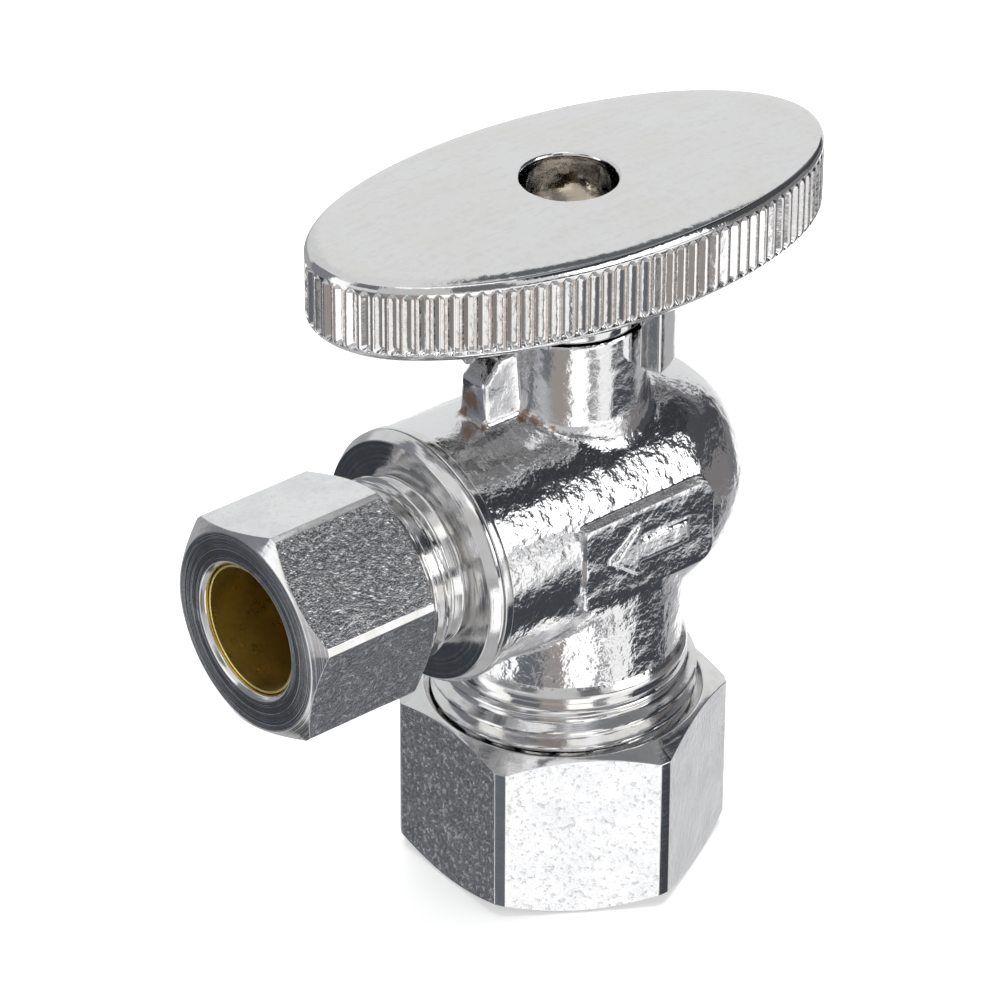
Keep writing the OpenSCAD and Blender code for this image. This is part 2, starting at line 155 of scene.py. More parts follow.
# Threads
THREAD_DEPTH = 0.56      # in pitches
THREAD_GAP = 0.2
THREAD_STEP = 0.065      # spacing of the rows on a thread
THREAD_REACH = 1.6       # of a nut's thread beyond the end of the one it is on
INLET_ROOT_R = INLET_CREST_R - THREAD_DEPTH * INLET_PITCH
OUTLET_ROOT_R = OUTLET_CREST_R - THREAD_DEPTH * OUTLET_PITCH
INLET_MOUTH_R = INLET_CREST_R + 0.55     # mouths of the nuts' threads
OUTLET_MOUTH_R = OUTLET_CREST_R + 0.4
FLAT_ROW = 8             # row of a nut's grid that makes its flats
BRASS_ROW = 23           # and the first one inside the outlet nut
OUTLET_ROUNDING = 0.17   # taken off the nuts' corners, in radius
INLET_ROUNDING = 0.24

# Chamber and stem
CHAMBER_R = 7.0
CHAMBER_END = 7.4
CORE_R = 4.2
CORE_END = 10.0
POCKET_R = 4.4
POCKET_TOP = 40.0
STEM_BORE_R = 3.06

# Handle
OVAL_A = 21.75
OVAL_B = 11.05
HANDLE_TURN = -5.5
HANDLE_TOP = node_box("handle")[1][2]
CROWN_DROP = 0.8         # how far the top's edge lies below its middle
RIM_TOP = HANDLE_TOP - CROWN_DROP
FLUTES = 100
FLUTE_HALF = 0.40        # half of a flute's width, in flute spacings
FLUTE_DEPTH = 0.45
FLUTE_TOP = 56.5
FLUTE_FULL = 56.0        # the flutes taper to a point above this height
FLUTE_BOTTOM = 51.7
FLUTE_ROWS = (55.7, 55.0, 54.2, 53.4, 52.5, 51.9)
BEVEL_START = 56.45      # of the rim's upper edge
BEVEL_BULGE = 0.05
UPPER_BEVEL = 0.3        # insets of the rim's two edges
LOWER_BEVEL = 1.1
RIM_BOTTOM = 50.45
RIM_WALL = 2.6
PLATE_BOTTOM = 54.2
HUB_BOTTOM = 47.0
STEM_TOP_R = 3.1
SQUARE_HALF = 2.11
SQUARE_BOTTOM = 47.3
SOCKET_TOP = 50.9
WEB_TOP = 52.1
SCREW_HOLE_R = 1.7
RECESS_R = 3.58
SKIRT_IN = 6.4
SKIRT_OUT = 8.3
SKIRT_BOTTOM = node_box("handle")[0][2]
SKIRT_ANGLES = (-75.9, 165.9)
RIB_BOTTOM = 51.5
RIB_W = 1.5

# Camera, in the photograph's place, and the stage
CAMERA_TARGET = (-6.40, 0.0, 32.64)
CAMERA_DISTANCE = 424.8
CAMERA_AZIMUTH = -40.06
CAMERA_ELEVATION = 31.68
CAMERA_ROLL = 0.22
LENS = 206.1
SENSOR = 36
FLOOR_REACH = 3.0        # metres, like the next three
FLOOR_GAP = 0.02 * MM    # between the floor and the valve
LAMP_PLACE = (0.1, 0.1, 1.3)
LAMP_SIZE = 1.2
LAMP_POWER = 18
FLOOR_GLOW = 0.35        # paper lit from below, so that the shadows stay soft

COLOURS = {
    "chrome": (0.80, 0.80, 0.81),
    "brass": (1.0, 0.87, 0.40),
    "rust_and_shade": (0.33, 0.20, 0.13),
}

# Rust stains and brown painted shade in the forging's corners: centre and reach
RUST_AND_SHADE_SPOTS = [
    ((-5.8, -2.0, OUTLET_H + 9.8), 0.6), ((-5.3, -2.9, OUTLET_H + 9.5), 0.65),
    ((-4.7, -3.8, OUTLET_H + 9.1), 0.5), ((7.0, -7.6, OUTLET_H + 2.6), 0.8),
    ((6.4, -6.4, 19.6), 1.2), ((-9.2, 0.2, OUTLET_H + 11.2), 1.3),
    ((-9.0, -1.3, OUTLET_H + 9.6), 0.5), ((-9.1, 0.9, OUTLET_H + 9.9), 0.7),
]


# ---------------------------------------------------------------- mesh helpers

def add_piece(name, points, faces, materials=(), finishes=None, sharp=35):
    """A mesh object from points in millimetres, with edges sharper than sharp degrees kept."""
    mesh = bpy.data.meshes.new(name)
    mesh.from_pydata((np.asarray(points, float) * MM).reshape(-1, 3).tolist(), [], faces)
    set_finishes(mesh, materials, finishes)
    piece = bpy.data.objects.new(name, mesh)
    bpy.context.scene.collection.objects.link(piece)
    if signed_volume(mesh) < 0:
        mesh.flip_normals()
    shade(mesh, sharp)
    return piece


def set_finishes(mesh, materials, finishes=None):
    """Gives a mesh its materials, and each face the number of one."""
    mesh.materials.clear()
    for material in materials:
        mesh.materials.append(material)
    if finishes is not None:
        mesh.polygons.foreach_set("material_index", np.asarray(finishes, int))


def face_centres(mesh):
    """X, Y and Z of every face's centre, in millimetres."""
    centres = np.zeros(len(mesh.polygons) * 3)
    mesh.polygons.foreach_get("center", centres)
    return centres.reshape(-1, 3).T / MM


def signed_volume(mesh):
    """Six times the volume that the mesh closes in; negative if its faces point inwards."""
    mesh.calc_loop_triangles()
    corners = np.array([triangle.vertices[:] for triangle in mesh.loop_triangles])
    places = np.array([vertex.co[:] for vertex in mesh.vertices])
    a, b, c = (places[corners[:, i]] for i in range(3))
    return float((a * np.cross(b, c)).sum())


def shade(mesh, sharp):
    """Smooth shading, except across edges sharper than sharp degrees."""
    mesh.shade_smooth()
    mesh.set_sharp_from_angle(angle=math.radians(sharp))


def weighted(piece):
    """Keeps the flats flat-looking beside their small rounded edges."""
    modifier = piece.modifiers.new("weighted", "WEIGHTED_NORMAL")
    modifier.keep_sharp = True
    modifier.weight = 60
    return piece


def finish_piece(piece, body, node):
    """Says what the piece moves with and stands for."""
    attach(piece, body)
    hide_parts(node)
    return piece


def grid_faces(columns, rows):
    """Quads of a grid that closes on itself both ways."""
    column, row = np.meshgrid(np.arange(columns), np.arange(rows), indexing="ij")
    after, above = (column + 1) % columns, (row + 1) % rows
    corners = [column * rows + row, after * rows + row, after * rows + above, column * rows + above]
    return np.stack(corners, -1).reshape(-1, 4).tolist()


def capped_faces(columns, rows):
    """Faces of a grid that closes round an axis, with a flat face at each end."""
    sides = np.array(grid_faces(columns, rows)).reshape(columns, rows, 4)[:, :-1]
    start = np.arange(columns) * rows
    return sides.reshape(-1, 4).tolist() + [start[::-1].tolist(), (start + rows - 1).tolist()]


def rounded_path(corners, steps=4, closed=True):
    """Rows of points along a path. Each corner is (places of all columns, rounding)."""
    columns = max(len(np.atleast_2d(place)) for place, _ in corners)
    size = np.atleast_2d(corners[0][0]).shape[-1]
    places = [np.broadcast_to(np.atleast_2d(place), (columns, size)) for place, _ in corners]
    rows = []
    for i, (_, rounding) in enumerate(corners):
        here = places[i]
        ends = not closed and i in (0, len(corners) - 1)
        if rounding == 0 or ends:
            rows.append(here)
            continue
        before = places[i - 1] - here
        after = places[(i + 1) % len(corners)] - here
        back = np.linalg.norm(before, axis=-1, keepdims=True) + 1e-9
        on = np.linalg.norm(after, axis=-1, keepdims=True) + 1e-9
        start = here + before / back * np.minimum(rounding, 0.45 * back)
        end = here + after / on * np.minimum(rounding, 0.45 * on)
        for t in np.linspace(0, 1, steps):
            rows.append(start * (1 - t) ** 2 + here * 2 * t * (1 - t) + end * t ** 2)
    return np.stack(rows, 1)


def profile(*corners):
    """A profile's corners (radius, distance, rounding) as rounded_path() takes them."""
    return [
        (np.stack(np.broadcast_arrays(np.atleast_1d(r), np.atleast_1d(z)), -1), rounding)
        for r, z, rounding in corners
    ]


def turn_profile(angles, path):
    """Points of a profile (columns, rows, radius and height) turned about Z."""
    radius, height = path[..., 0], path[..., 1]
    angle = np.broadcast_to(angles[:, None], radius.shape)
    return np.stack([radius * np.cos(angle), radius * np.sin(angle), height], -1)


def on_outlet(points):
    """Moves points drawn about Z to the outlet's axis; z becomes the distance from the stem."""
    return np.stack([-points[..., 2], points[..., 1], OUTLET_H + points[..., 0]], -1)


def even_angles(columns):
    return np.arange(columns) * 2 * math.pi / columns


def thread_radius(angles, heights, root, crest, pitch, start, end, fade):
    """Radius of a right-handed thread at each angle and height."""
    phase = (heights[None, :] / pitch - angles[:, None] / (2 * math.pi)) % 1
    bump = np.interp(phase, [0, 0.09, 0.42, 0.58, 0.91, 1], [0, 0, 1, 1, 0, 0])
    fading = np.clip(np.minimum((heights - start) / fade[0], (end - heights) / fade[1]), 0, 1)
    return root + (crest - root) * bump * fading[None, :]


def thread_rows(angles, root, crest, pitch, start, end, fade):
    """Rows of a thread, from start to end, as a profile path."""
    heights = np.linspace(start, end, int(abs(end - start) / THREAD_STEP) + 2)
    low, high = min(start, end), max(start, end)
    radius = thread_radius(angles, heights, root, crest, pitch, low, high, fade)
    return np.stack([radius, np.broadcast_to(heights, radius.shape)], -1)


def turned_piece(name, angles, path, materials=(), finishes=None, along_outlet=False,
                 capped=False):
    """A piece turned from a path: a closed ring, or a solid with a flat face at each end."""
    path = np.broadcast_to(path, (len(angles), *path.shape[1:]))
    points = turn_profile(angles, path)
    if along_outlet:
        points = on_outlet(points)
    faces = capped_faces(*path.shape[:2]) if capped else grid_faces(*path.shape[:2])
    if finishes is not None:
        finishes = np.broadcast_to(finishes, path.shape[:2]).reshape(-1)
    return add_piece(name, points, faces, materials, finishes)


def cutter(name, corners, along_outlet=False):
    """A turned solid to cut with."""
    path = rounded_path(profile(*[(r, z, 0) for r, z in corners]), closed=False)
    return turned_piece(name, even_angles(128), path, along_outlet=along_outlet, capped=True)


def combine(piece, *tools):
    """Joins each (tool, operation) to the piece, and removes the tools."""
    for tool, operation in tools:
        modifier = piece.modifiers.new(tool.name, "BOOLEAN")
        modifier.object = tool
        modifier.operation = operation
        modifier.solver = "MANIFOLD"
    evaluated = piece.evaluated_get(bpy.context.evaluated_depsgraph_get())
    mesh = bpy.data.meshes.new_from_object(evaluated)
    piece.modifiers.clear()
    piece.data = mesh
    for tool, _ in tools:
        bpy.data.objects.remove(tool)
    return piece


def bar(name, width, height, length, rounding, place, steps=24):
    """A bar with rounded edges. place() turns (across, up, along) into a point."""
    quarter = np.linspace(0, math.pi / 2, 4)
    inset = rounding * (1 - np.sin(quarter))
    ends = rounding * (1 - np.cos(quarter))
    along = np.concatenate([ends, np.linspace(rounding, length - rounding, steps)[1:-1],
                            length - ends[::-1]])
    insets = np.concatenate([inset, np.zeros(steps - 2), inset[::-1]])
    least = 0.02             # radius that is left at the ends
    sections = []
    for distance, drawn_in in zip(along, insets):
        section = []
        for i, (x, y) in enumerate(((1, 1), (-1, 1), (-1, -1), (1, -1))):
            angle = math.radians(90 * i) + quarter
            across = x * (width / 2 - rounding - least) + (rounding - drawn_in + least) * np.cos(angle)
            up = y * (height / 2 - rounding - least) + (rounding - drawn_in + least) * np.sin(angle)
            section += [place(u, v, distance) for u, v in zip(across, up)]
        sections.append(section)
    points = np.array(sections, float).swapaxes(0, 1)
    return add_piece(name, points, capped_faces(*points.shape[:2]))


# ---------------------------------------------------------------- forging

def smooth_union(a, b, width):
    """Distance to two shapes joined with a fillet."""
    share = np.clip(0.5 + 0.5 * (b - a) / width, 0, 1)
    return b * (1 - share) + a * share - width * share * (1 - share)


def pulled_out(flat, depth, rounding):
    """Distance to a flat shape pulled out to a thickness, with rounded edges."""
    across, along = flat + rounding, depth + rounding
    outside = np.hypot(np.maximum(across, 0), np.maximum(along, 0))
    return np.minimum(np.maximum(across, along), 0) + outside - rounding


def polygon_distance(u, v, corners):
    """Signed distance in the plane to a polygon."""
    nearest = np.full(u.shape, np.inf)
    sign = np.ones(u.shape)
    for (ax, ay), (bx, by) in zip(corners, corners[1:] + corners[:1]):
        ex, ey = bx - ax, by - ay
        wx, wy = u - ax, v - ay
        along = np.clip((wx * ex + wy * ey) / (ex * ex + ey * ey), 0, 1)
        nearest = np.minimum(nearest, np.hypot(wx - along * ex, wy - along * ey))
        if ey:
            crossed = ((ay <= v) != (by <= v)) & (u < ax + wy * ex / ey)
            sign = np.where(crossed, -sign, sign)
    return nearest * sign


def barrel_distance(x, y, z):
    """Barrel on the outlet's axis: domed at +X, flat at the machined rim."""
    radial = np.hypot(y, z)
    dome = np.sqrt(np.maximum(x - DOME_X, 0) ** 2 + radial ** 2) - BARREL_R
    return np.maximum(dome, -(FACE_X - 0.3) - x)


def boss_distance(x, y, z):
    """Round boss, with a foot that flares a little."""
    radial = np.hypot(x, y) - BOSS_R
    straight = np.maximum(radial, z - BOSS_TOP)
    slope = FOOT_FLARE / (FOOT_TOP - FOOT_BOTTOM)
    foot = (radial - (FOOT_TOP - z) * slope) / math.hypot(1, slope)
    foot = np.maximum.reduce([foot, z - FOOT_TOP, radial - FOOT_FLARE])
    return smooth_union(straight, foot, FILLETS["foot"])


def lug_distance(x, y, z):
    """Stop lug on the boss's outlet side, with the corner of its top cut off."""
    cut = (LUG_TOP - LUG_CUT - z + LUG_REACH + x) / -math.sqrt(2)
    outline = np.maximum.reduce([-LUG_REACH - x, z - LUG_TOP, cut, x - LUG_ROOT])
    half = LUG_HALF_W - LUG_DRAFT * (z - FOOT_TOP)
    return pulled_out(outline, np.abs(y) - half, EDGES["lug"])


def pad_distance(x, y, z):
    """Pad on the barrel's side, with the flow arrow raised on it."""
    u = x - (PAD_LEFT + PAD_RIGHT) / 2
    v = z - PAD_Z
    corner = np.where(u > 0, PAD_CORNER, PAD_CORNER / 4)
    qx = np.abs(u) - (PAD_RIGHT - PAD_LEFT) / 2 + corner
    qy = np.abs(v) - PAD_H / 2 + corner
    flat = np.minimum(np.maximum(qx, qy), 0) - corner
    flat = flat + np.hypot(np.maximum(qx, 0), np.maximum(qy, 0))
    pad = pulled_out(flat, np.maximum(-PAD_FACE - y, y + PAD_ROOT), EDGES["pad"])
    arrow = polygon_distance(u, v, ARROW) + ARROW_SIDE * (-PAD_FACE - y)
    face = PAD_FACE + ARROW_H - ARROW_LEAN * (v + ARROW_HALF)
    raised = pulled_out(arrow, np.maximum(-face - y, y + ARROW_ROOT), EDGES["arrow"])
    return smooth_union(pad, raised, FILLETS["arrow"])


def body_distance(points):
    """Signed distance to the forging, without its bores."""
    x, y, z = points[..., 0], points[..., 1], points[..., 2]
    barrel = barrel_distance(x, y, z - OUTLET_H)
    neck = np.maximum.reduce([np.hypot(x, y) - NECK_R, SHOULDER[0] + 0.3 - z, z - OUTLET_H])
    whole = smooth_union(barrel, neck, FILLETS["neck"])
    boss = np.maximum(boss_distance(x, y, z), OUTLET_H - z)
    lug = np.maximum(lug_distance(x, y, z), OUTLET_H - z)
    whole = smooth_union(whole, smooth_union(boss, lug, FILLETS["lug"]), FILLETS["boss"])
    return smooth_union(whole, pad_distance(x, y, z), FILLETS["pad"])


def lattice(low, high, step):
    """Points of a regular grid that covers a box."""
    counts = np.ceil((np.array(high) - low) / step).astype(int) + 1
    axes = [low[i] + step * np.arange(counts[i]) for i in range(3)]
    return np.stack(np.meshgrid(*axes, indexing="ij"), -1)


def surface_net(field, low, step):
    """Quad mesh on the zero level of a sampled field: one point in each cell it crosses."""
    inside = field < 0
    cells = tuple(np.array(field.shape) - 1)
    total = np.zeros((*cells, 3))
    count = np.zeros(cells)
    crossings = []
    for axis in range(3):
        first = np.moveaxis(field, axis, 0)[:-1]
        second = np.moveaxis(field, axis, 0)[1:]
        crossed = (first < 0) != (second < 0)
        part = np.where(crossed, first / np.where(crossed, first - second, 1), 0)
        crossings.append(np.moveaxis(crossed, 0, axis))
        part = np.moveaxis(part, 0, axis)
        grid = np.stack(np.indices(part.shape), -1).astype(float)
        grid[..., axis] += part
        others = [i for i in range(3) if i != axis]
        for shift in np.ndindex(2, 2):
            window = [slice(None)] * 3
            for other, by in zip(others, shift):
                window[other] = slice(by, by + cells[other])
            window = tuple(window)
            total += grid[window] * crossings[axis][window][..., None]
            count += crossings[axis][window]
    used = count > 0
    number = np.full(cells, -1)
    number[used] = np.arange(used.sum())
    points = low + step * total[used] / count[used][:, None]
    return points, net_faces(crossings, number, inside)


def net_faces(crossings, number, inside):
    """Quads round each crossed grid edge, wound so that they face outwards."""
    faces = []
    for axis in range(3):
        b, c = (axis + 1) % 3, (axis + 2) % 3
        at = np.argwhere(crossings[axis])
        at = at[(at[:, b] > 0) & (at[:, c] > 0)]
        at = at[(at[:, b] < number.shape[b]) & (at[:, c] < number.shape[c])]
        quad = []
        for db, dc in ((1, 1), (0, 1), (0, 0), (1, 0)):
            cell = at.copy()
            cell[:, b] -= db
            cell[:, c] -= dc
            quad.append(number[tuple(cell.T)])
        quad = np.stack(quad, 1)
        leaving = inside[tuple(at.T)]
        faces.append(np.where(leaving[:, None], quad, quad[:, ::-1]))
    return np.concatenate(faces)


def slope_of(field, points, reach=0.02):
    """Gradient of a field at points."""
    parts = []
    for axis in range(3):
        offset = np.zeros(3)
        offset[axis] = reach
        parts.append((field(points + offset) - field(points - offset)) / (2 * reach))
    return np.stack(parts, -1)


def random_field(points, cell, seed):
    """Smooth random values from -1 to 1 that vary over about one cell."""
    size = 32
    table = np.random.default_rng(seed).uniform(-1, 1, (size, size, size))
    where = points / cell + size * 4
    base = np.floor(where).astype(int)
    part = where - base
    part = part * part * (3 - 2 * part)
    total = np.zeros(len(points))
    for corner in np.ndindex(2, 2, 2):
        weight = np.prod(np.where(corner, part, 1 - part), axis=1)
        total += weight * table[tuple(((base + corner) % size).T)]
    return total


def ramp(value, start, end):
    """0 before start, 1 after end, smooth between."""
    part = np.clip((value - start) / (end - start), 0, 1)
    return part * part * (3 - 2 * part)


def forging_mesh():
    """Points and faces of the uneven forged skin."""
    low = np.array([-FACE_X, -BARREL_R - 1, SHOULDER[0] + 0.1])
    high = np.array([DOME_X + BARREL_R + 0.6, BARREL_R + 0.8, BOSS_TOP + 0.6])
    grid = lattice(low, high, FORGING_STEP)
    points, faces = surface_net(body_distance(grid), low, FORGING_STEP)
    for _ in range(3):
        slope = slope_of(body_distance, points)
        length = (slope ** 2).sum(-1) + 1e-6
        points = points - slope * (np.clip(body_distance(points), -0.1, 0.1) / length)[:, None]
    slope = slope_of(body_distance, points)
    normal = slope / (np.linalg.norm(slope, axis=-1, keepdims=True) + 1e-9)
    # Machined ends stay true, and the boss is smoother than the rest.
    amount = ramp(points[:, 0], -FACE_X + 1, -FACE_X + 2.5)
    amount *= ramp(points[:, 2], SHOULDER[2] - 0.2, SHOULDER[2] + 1)
    amount *= 1 - 0.75 * ramp(points[:, 2], FOOT_TOP, FOOT_TOP + 1)
    for seed, (cell, height) in enumerate(LUMPS):
        points = points + normal * (height * amount * random_field(points, cell, seed))[:, None]
    return points, faces.tolist()


def turned_end():
    """Solid of the inlet thread, its relief groove and the shoulder above it."""
    columns = 150
    angles = even_angles(columns)
    root = INLET_ROOT_R
    thread = thread_rows(angles, root, INLET_CREST_R, INLET_PITCH, BODY_END, INLET_THREAD_TOP,
                         (0.4, 1))
    chamfer = root + thread[..., 1] - BODY_END - 0.1
    thread[..., 0] = np.minimum(thread[..., 0], chamfer)
    foot, top, end = SHOULDER
    above = rounded_path(profile(
        (RELIEF_R, INLET_THREAD_TOP + 0.1, 0), (RELIEF_R, foot, 0.12), (SHOULDER_R, foot, 0.12),
        (SHOULDER_R, top, 0.25), (NECK_R - 0.05, end, 0.3), (NECK_R - 0.3, end + 0.6, 0),
        (NECK_R - 0.4, end + 2, 0),
    ), closed=False)
    above = np.broadcast_to(above, (columns, *above.shape[1:]))
    return turned_piece("turned_end", angles, np.concatenate([thread, above], 1), capped=True)


def machined_rim():
    """Solid of the rim that the adapter seats on."""
    path = rounded_path(profile(
        (BARREL_R - 0.6, FACE_X - 3, 0), (BARREL_R - 0.35, FACE_X - RIM_T - 0.3, 0.1),
        (BARREL_R - 0.1, FACE_X - RIM_T - 0.12, 0.05),
        (RIM_R, FACE_X - RIM_T, 0.12), (RIM_R, FACE_X - 0.06, 0.06), (RIM_R - 0.08, FACE_X, 0),
        (BARREL_R - 1, FACE_X, 0),
    ), closed=False)
    return turned_piece("machined_rim", even_angles(192), path, along_outlet=True, capped=True)


def bore_cutters():
    """The body's bores: inlet, ball chamber with the adapter's spigot, and stem."""
    inlet = cutter("inlet_cut", [
        (INLET_BORE_R + 1.4, BODY_END - 1), (INLET_BORE_R + 0.9, BODY_END),
        (INLET_BORE_R, BODY_END + 1.7), (INLET_BORE_R, INLET_STOP),
        (INLET_WAY_R, INLET_STOP), (INLET_WAY_R, OUTLET_H),
    ])
    chamber = cutter("chamber_cut", [
        (CORE_R, -CORE_END), (CORE_R, -CHAMBER_END), (CHAMBER_R, -CHAMBER_END),
        (CHAMBER_R, SPIGOT_END), (SPIGOT_R, SPIGOT_END), (SPIGOT_R, SEAL_POCKET[1]),
        (SEAL_POCKET[0], SEAL_POCKET[1]), (SEAL_POCKET[0], FACE_X + 1),
    ], along_outlet=True)
    stem = cutter("stem_cut", [
        (POCKET_R, OUTLET_H), (POCKET_R, POCKET_TOP), (STEM_BORE_R, POCKET_TOP),
        (STEM_BORE_R, BOSS_TOP + 1),
    ])
    return inlet, chamber, stem


def make_body():
    body = add_piece("body_forging", *forging_mesh())
    tools = [(turned_end(), "UNION"), (machined_rim(), "UNION")]
    combine(body, *tools, *[(tool, "DIFFERENCE") for tool in bore_cutters()])
    materials = [forged_chrome(), turned_chrome("turned_end_marks", False),
                 turned_chrome("turned_rim_marks", True), raw_brass()]
    set_finishes(body.data, materials, body_finishes(body.data))
    shade(body.data, 32)
    return finish_piece(body, "body", "valve_body")


def body_finishes(mesh):
    """Material index of each face: 0 forged, 1 turned end, 2 turned rim, 3 bores."""
    x, y, z = face_centres(mesh)
    across = np.hypot(x, y)
    round_outlet = np.hypot(y, z - OUTLET_H)
    index = np.zeros(len(x), int)
    index[z < SHOULDER[1] + 0.4] = 1
    index[(x < -FACE_X + RIM_T + 0.2) & (round_outlet > BARREL_R - 0.2)] = 2
    inlet = (across < INLET_BORE_R + 0.05) & (z < INLET_STOP + 0.1)
    way = (across < INLET_WAY_R + 0.05) & (z < OUTLET_H - CHAMBER_R)
    chamber = (round_outlet < CHAMBER_R + 0.05) & (np.abs(x) < CORE_END + 0.1)
    mouth = (round_outlet < SEAL_POCKET[0] + 0.05) & (x < -SPIGOT_END)
    index[inlet | way | chamber | mouth] = 3
    return index


# ---------------------------------------------------------------- outlet adapter and ferrules

def make_adapter():
    """Flanged nipple: flange, relief, thread, and the tube's socket."""
    angles = even_angles(192)
    root = OUTLET_ROOT_R
    relief_end = FLANGE_X + 0.9
    spigot_r = SPIGOT_R - 0.02
    flange = rounded_path(profile(
        (OUTLET_WAY_R, SPIGOT_END, 0), (spigot_r, SPIGOT_END, 0.1), (spigot_r, FACE_X - 1.7, 0),
        (SEAL_GROOVE_R, FACE_X - 1.7, 0), (SEAL_GROOVE_R, FACE_X - 0.2, 0),
        (spigot_r, FACE_X - 0.2, 0), (SPIGOT_R, FACE_X + 0.02, 0),
        (RIM_R - 0.14, FACE_X + 0.02, 0.04), (RIM_R, FACE_X + 0.16, 0.06),
        (RIM_R - 0.06, FACE_X + 0.4, 0.08), (FLANGE_FRONT_R, FLANGE_X, 0.07),
        (OUTLET_RELIEF_R + 0.25, FLANGE_X, 0.2), (OUTLET_RELIEF_R, relief_end, 0),
    ), closed=False)
    thread = thread_rows(angles, root, OUTLET_CREST_R, OUTLET_PITCH, relief_end, ADAPTER_END,
                         (0.5, 0.4))
    thread[..., 0] = np.minimum(thread[..., 0], root - 0.1 + ADAPTER_END - thread[..., 1])
    inside = rounded_path(profile(
        (OUTLET_BORE_R + 0.8, ADAPTER_END, 0), (OUTLET_BORE_R, ADAPTER_END - 1.5, 0.1),
        (OUTLET_BORE_R, OUTLET_STOP, 0), (OUTLET_WAY_R, OUTLET_STOP, 0.1),
        (OUTLET_WAY_R, OUTLET_STOP - 2, 0),
    ), closed=False)
    flange, inside = (np.broadcast_to(part, (len(angles), *part.shape[1:]))
                      for part in (flange, inside))
    path = np.concatenate([flange, thread, inside], 1)
    finishes = np.zeros(path.shape[1], int)
    finishes[-inside.shape[1]:] = 1
    adapter = turned_piece("adapter_turned", angles, path,
                           [turned_chrome("adapter_marks", True), raw_brass(True)], finishes,
                           along_outlet=True)
    return finish_piece(weighted(adapter), "body", "outlet_adapter")


def make_ferrule(name, node, tube_r, edge, fat, heights, along_outlet):
    """Brass ring with a taper at each end, and a lip beyond the second one."""
    start, taper0, taper1, lip, end = heights
    path = rounded_path(profile(
        (tube_r + 0.03, start, 0.04), (tube_r + edge, start, 0.08),
        (tube_r + fat, taper0, 0.25), (tube_r + fat, taper1, 0.25),
        (tube_r + edge, lip, 0.05), (tube_r + edge, end, 0.05), (tube_r + 0.03, end, 0.05),
    ))
    ferrule = turned_piece(name, even_angles(144), path, [raw_brass(along_outlet)],
                           along_outlet=along_outlet)
    return finish_piece(weighted(ferrule), node, node)


def make_ferrules():
    low, high = node_box("outlet_ferrule")
    start, end = -high[0], -low[0]
    make_ferrule("outlet_olive", "outlet_ferrule", OUTLET_BORE_R - OUTLET_TUBE_GAP, 0.2, 0.95,
                 (start, start + 1.35, end - 1.6, end - 0.5, end), True)
    low, high = node_box("inlet_ferrule")
    start, end = low[2], high[2]
    make_ferrule("inlet_olive", "inlet_ferrule", INLET_BORE_R - INLET_TUBE_GAP, 0.3, 1.05,
                 (start, start + 1.15, end - 1.45, end - 0.15, end), False)


# ---------------------------------------------------------------- nuts

def hex_columns(across_flats, vertex_angle, rounding):
    """Angles round a hexagon, its radius at each, and which columns lie on a flat."""
    apothem = across_flats / 2
    corner_r = apothem / math.cos(math.pi / 6) - rounding
    edge = math.degrees(math.acos(apothem / corner_r))
    close = np.array([-0.35, -0.12, 0, 0.12, 0.35])        # columns round an edge, in degrees
    side = np.concatenate([-edge - close[::-1], np.linspace(-edge + 1, edge - 1, 19),
                           edge + close, [edge + (30 - edge) * 0.6, 30]])
    flat = apothem / np.cos(np.radians(side))
    radii = smooth_union(flat, corner_r, 0.012)
    angles = np.radians(vertex_angle + 30 + 60 * np.arange(6)[:, None] + side)
    return angles.reshape(-1), np.tile(radii, 6), np.tile(np.abs(side) < edge, 6)


def nut_rows(radii, flat_r, low, high):
    """Outside of a nut from its low face to its high one: 30 degree chamfers and flats."""
    rise = (radii - flat_r) * math.tan(math.radians(30))
    return profile(
        (flat_r, low, 0.12), (radii, low + rise, 0.05), (radii, high - rise, 0.05),
        (flat_r, high, 0.12),
    )


def make_outlet_nut():
    angles, radii, flats = hex_columns(OUTLET_AF, OUTLET_VERTEX, OUTLET_ROUNDING)
    front, back = OUTLET_FRONT, OUTLET_BACK
    hole_r = OUTLET_HOLE_R
    root = OUTLET_ROOT_R + THREAD_GAP
    start = ADAPTER_END + THREAD_REACH
    mouth_r = OUTLET_MOUTH_R
    outside = rounded_path(
        profile((mouth_r, back, 0.0)) + nut_rows(radii, OUTLET_FLAT_R, back, front) + profile(
            (hole_r + 0.3, front, 0.1), (hole_r, front - 0.3, 0.1), (hole_r, front - 1, 0.05),
            (hole_r + 1, front - 2.1, 0), (hole_r + 1, start - 0.5, 0),
            (root, start - 0.05, 0),
        ), closed=False)
    thread = thread_rows(angles, root, OUTLET_CREST_R + THREAD_GAP, OUTLET_PITCH, start, back,
                         (1, 0.8))
    thread[..., 0] = np.maximum(thread[..., 0], mouth_r - (thread[..., 1] - back) / 0.6)
    path = np.concatenate([outside, thread[:, :-1]], 1)
    finishes = nut_finishes(path, flats, range(BRASS_ROW, outside.shape[1]))
    nut = turned_piece("outlet_nut_hex", angles, path,
                       [blasted_chrome("outlet_flats"), turned_chrome("outlet_nut_marks", True, 4),
                        raw_brass(True), turned_chrome("outlet_corners", True, 0.6)],
                       finishes, along_outlet=True)
    return finish_piece(weighted(nut), "outlet_nut", "outlet_nut")


def nut_finishes(path, flats, brass_rows=()):
    """Material index of each face of a nut: 0 flats, 1 turned, 2 inside, 3 corners."""
    finishes = np.ones(path.shape[:2], int)
    finishes[:, FLAT_ROW] = 3
    finishes[flats & np.roll(flats, -1), FLAT_ROW] = 0
    finishes[:, brass_rows] = 2
    return finishes


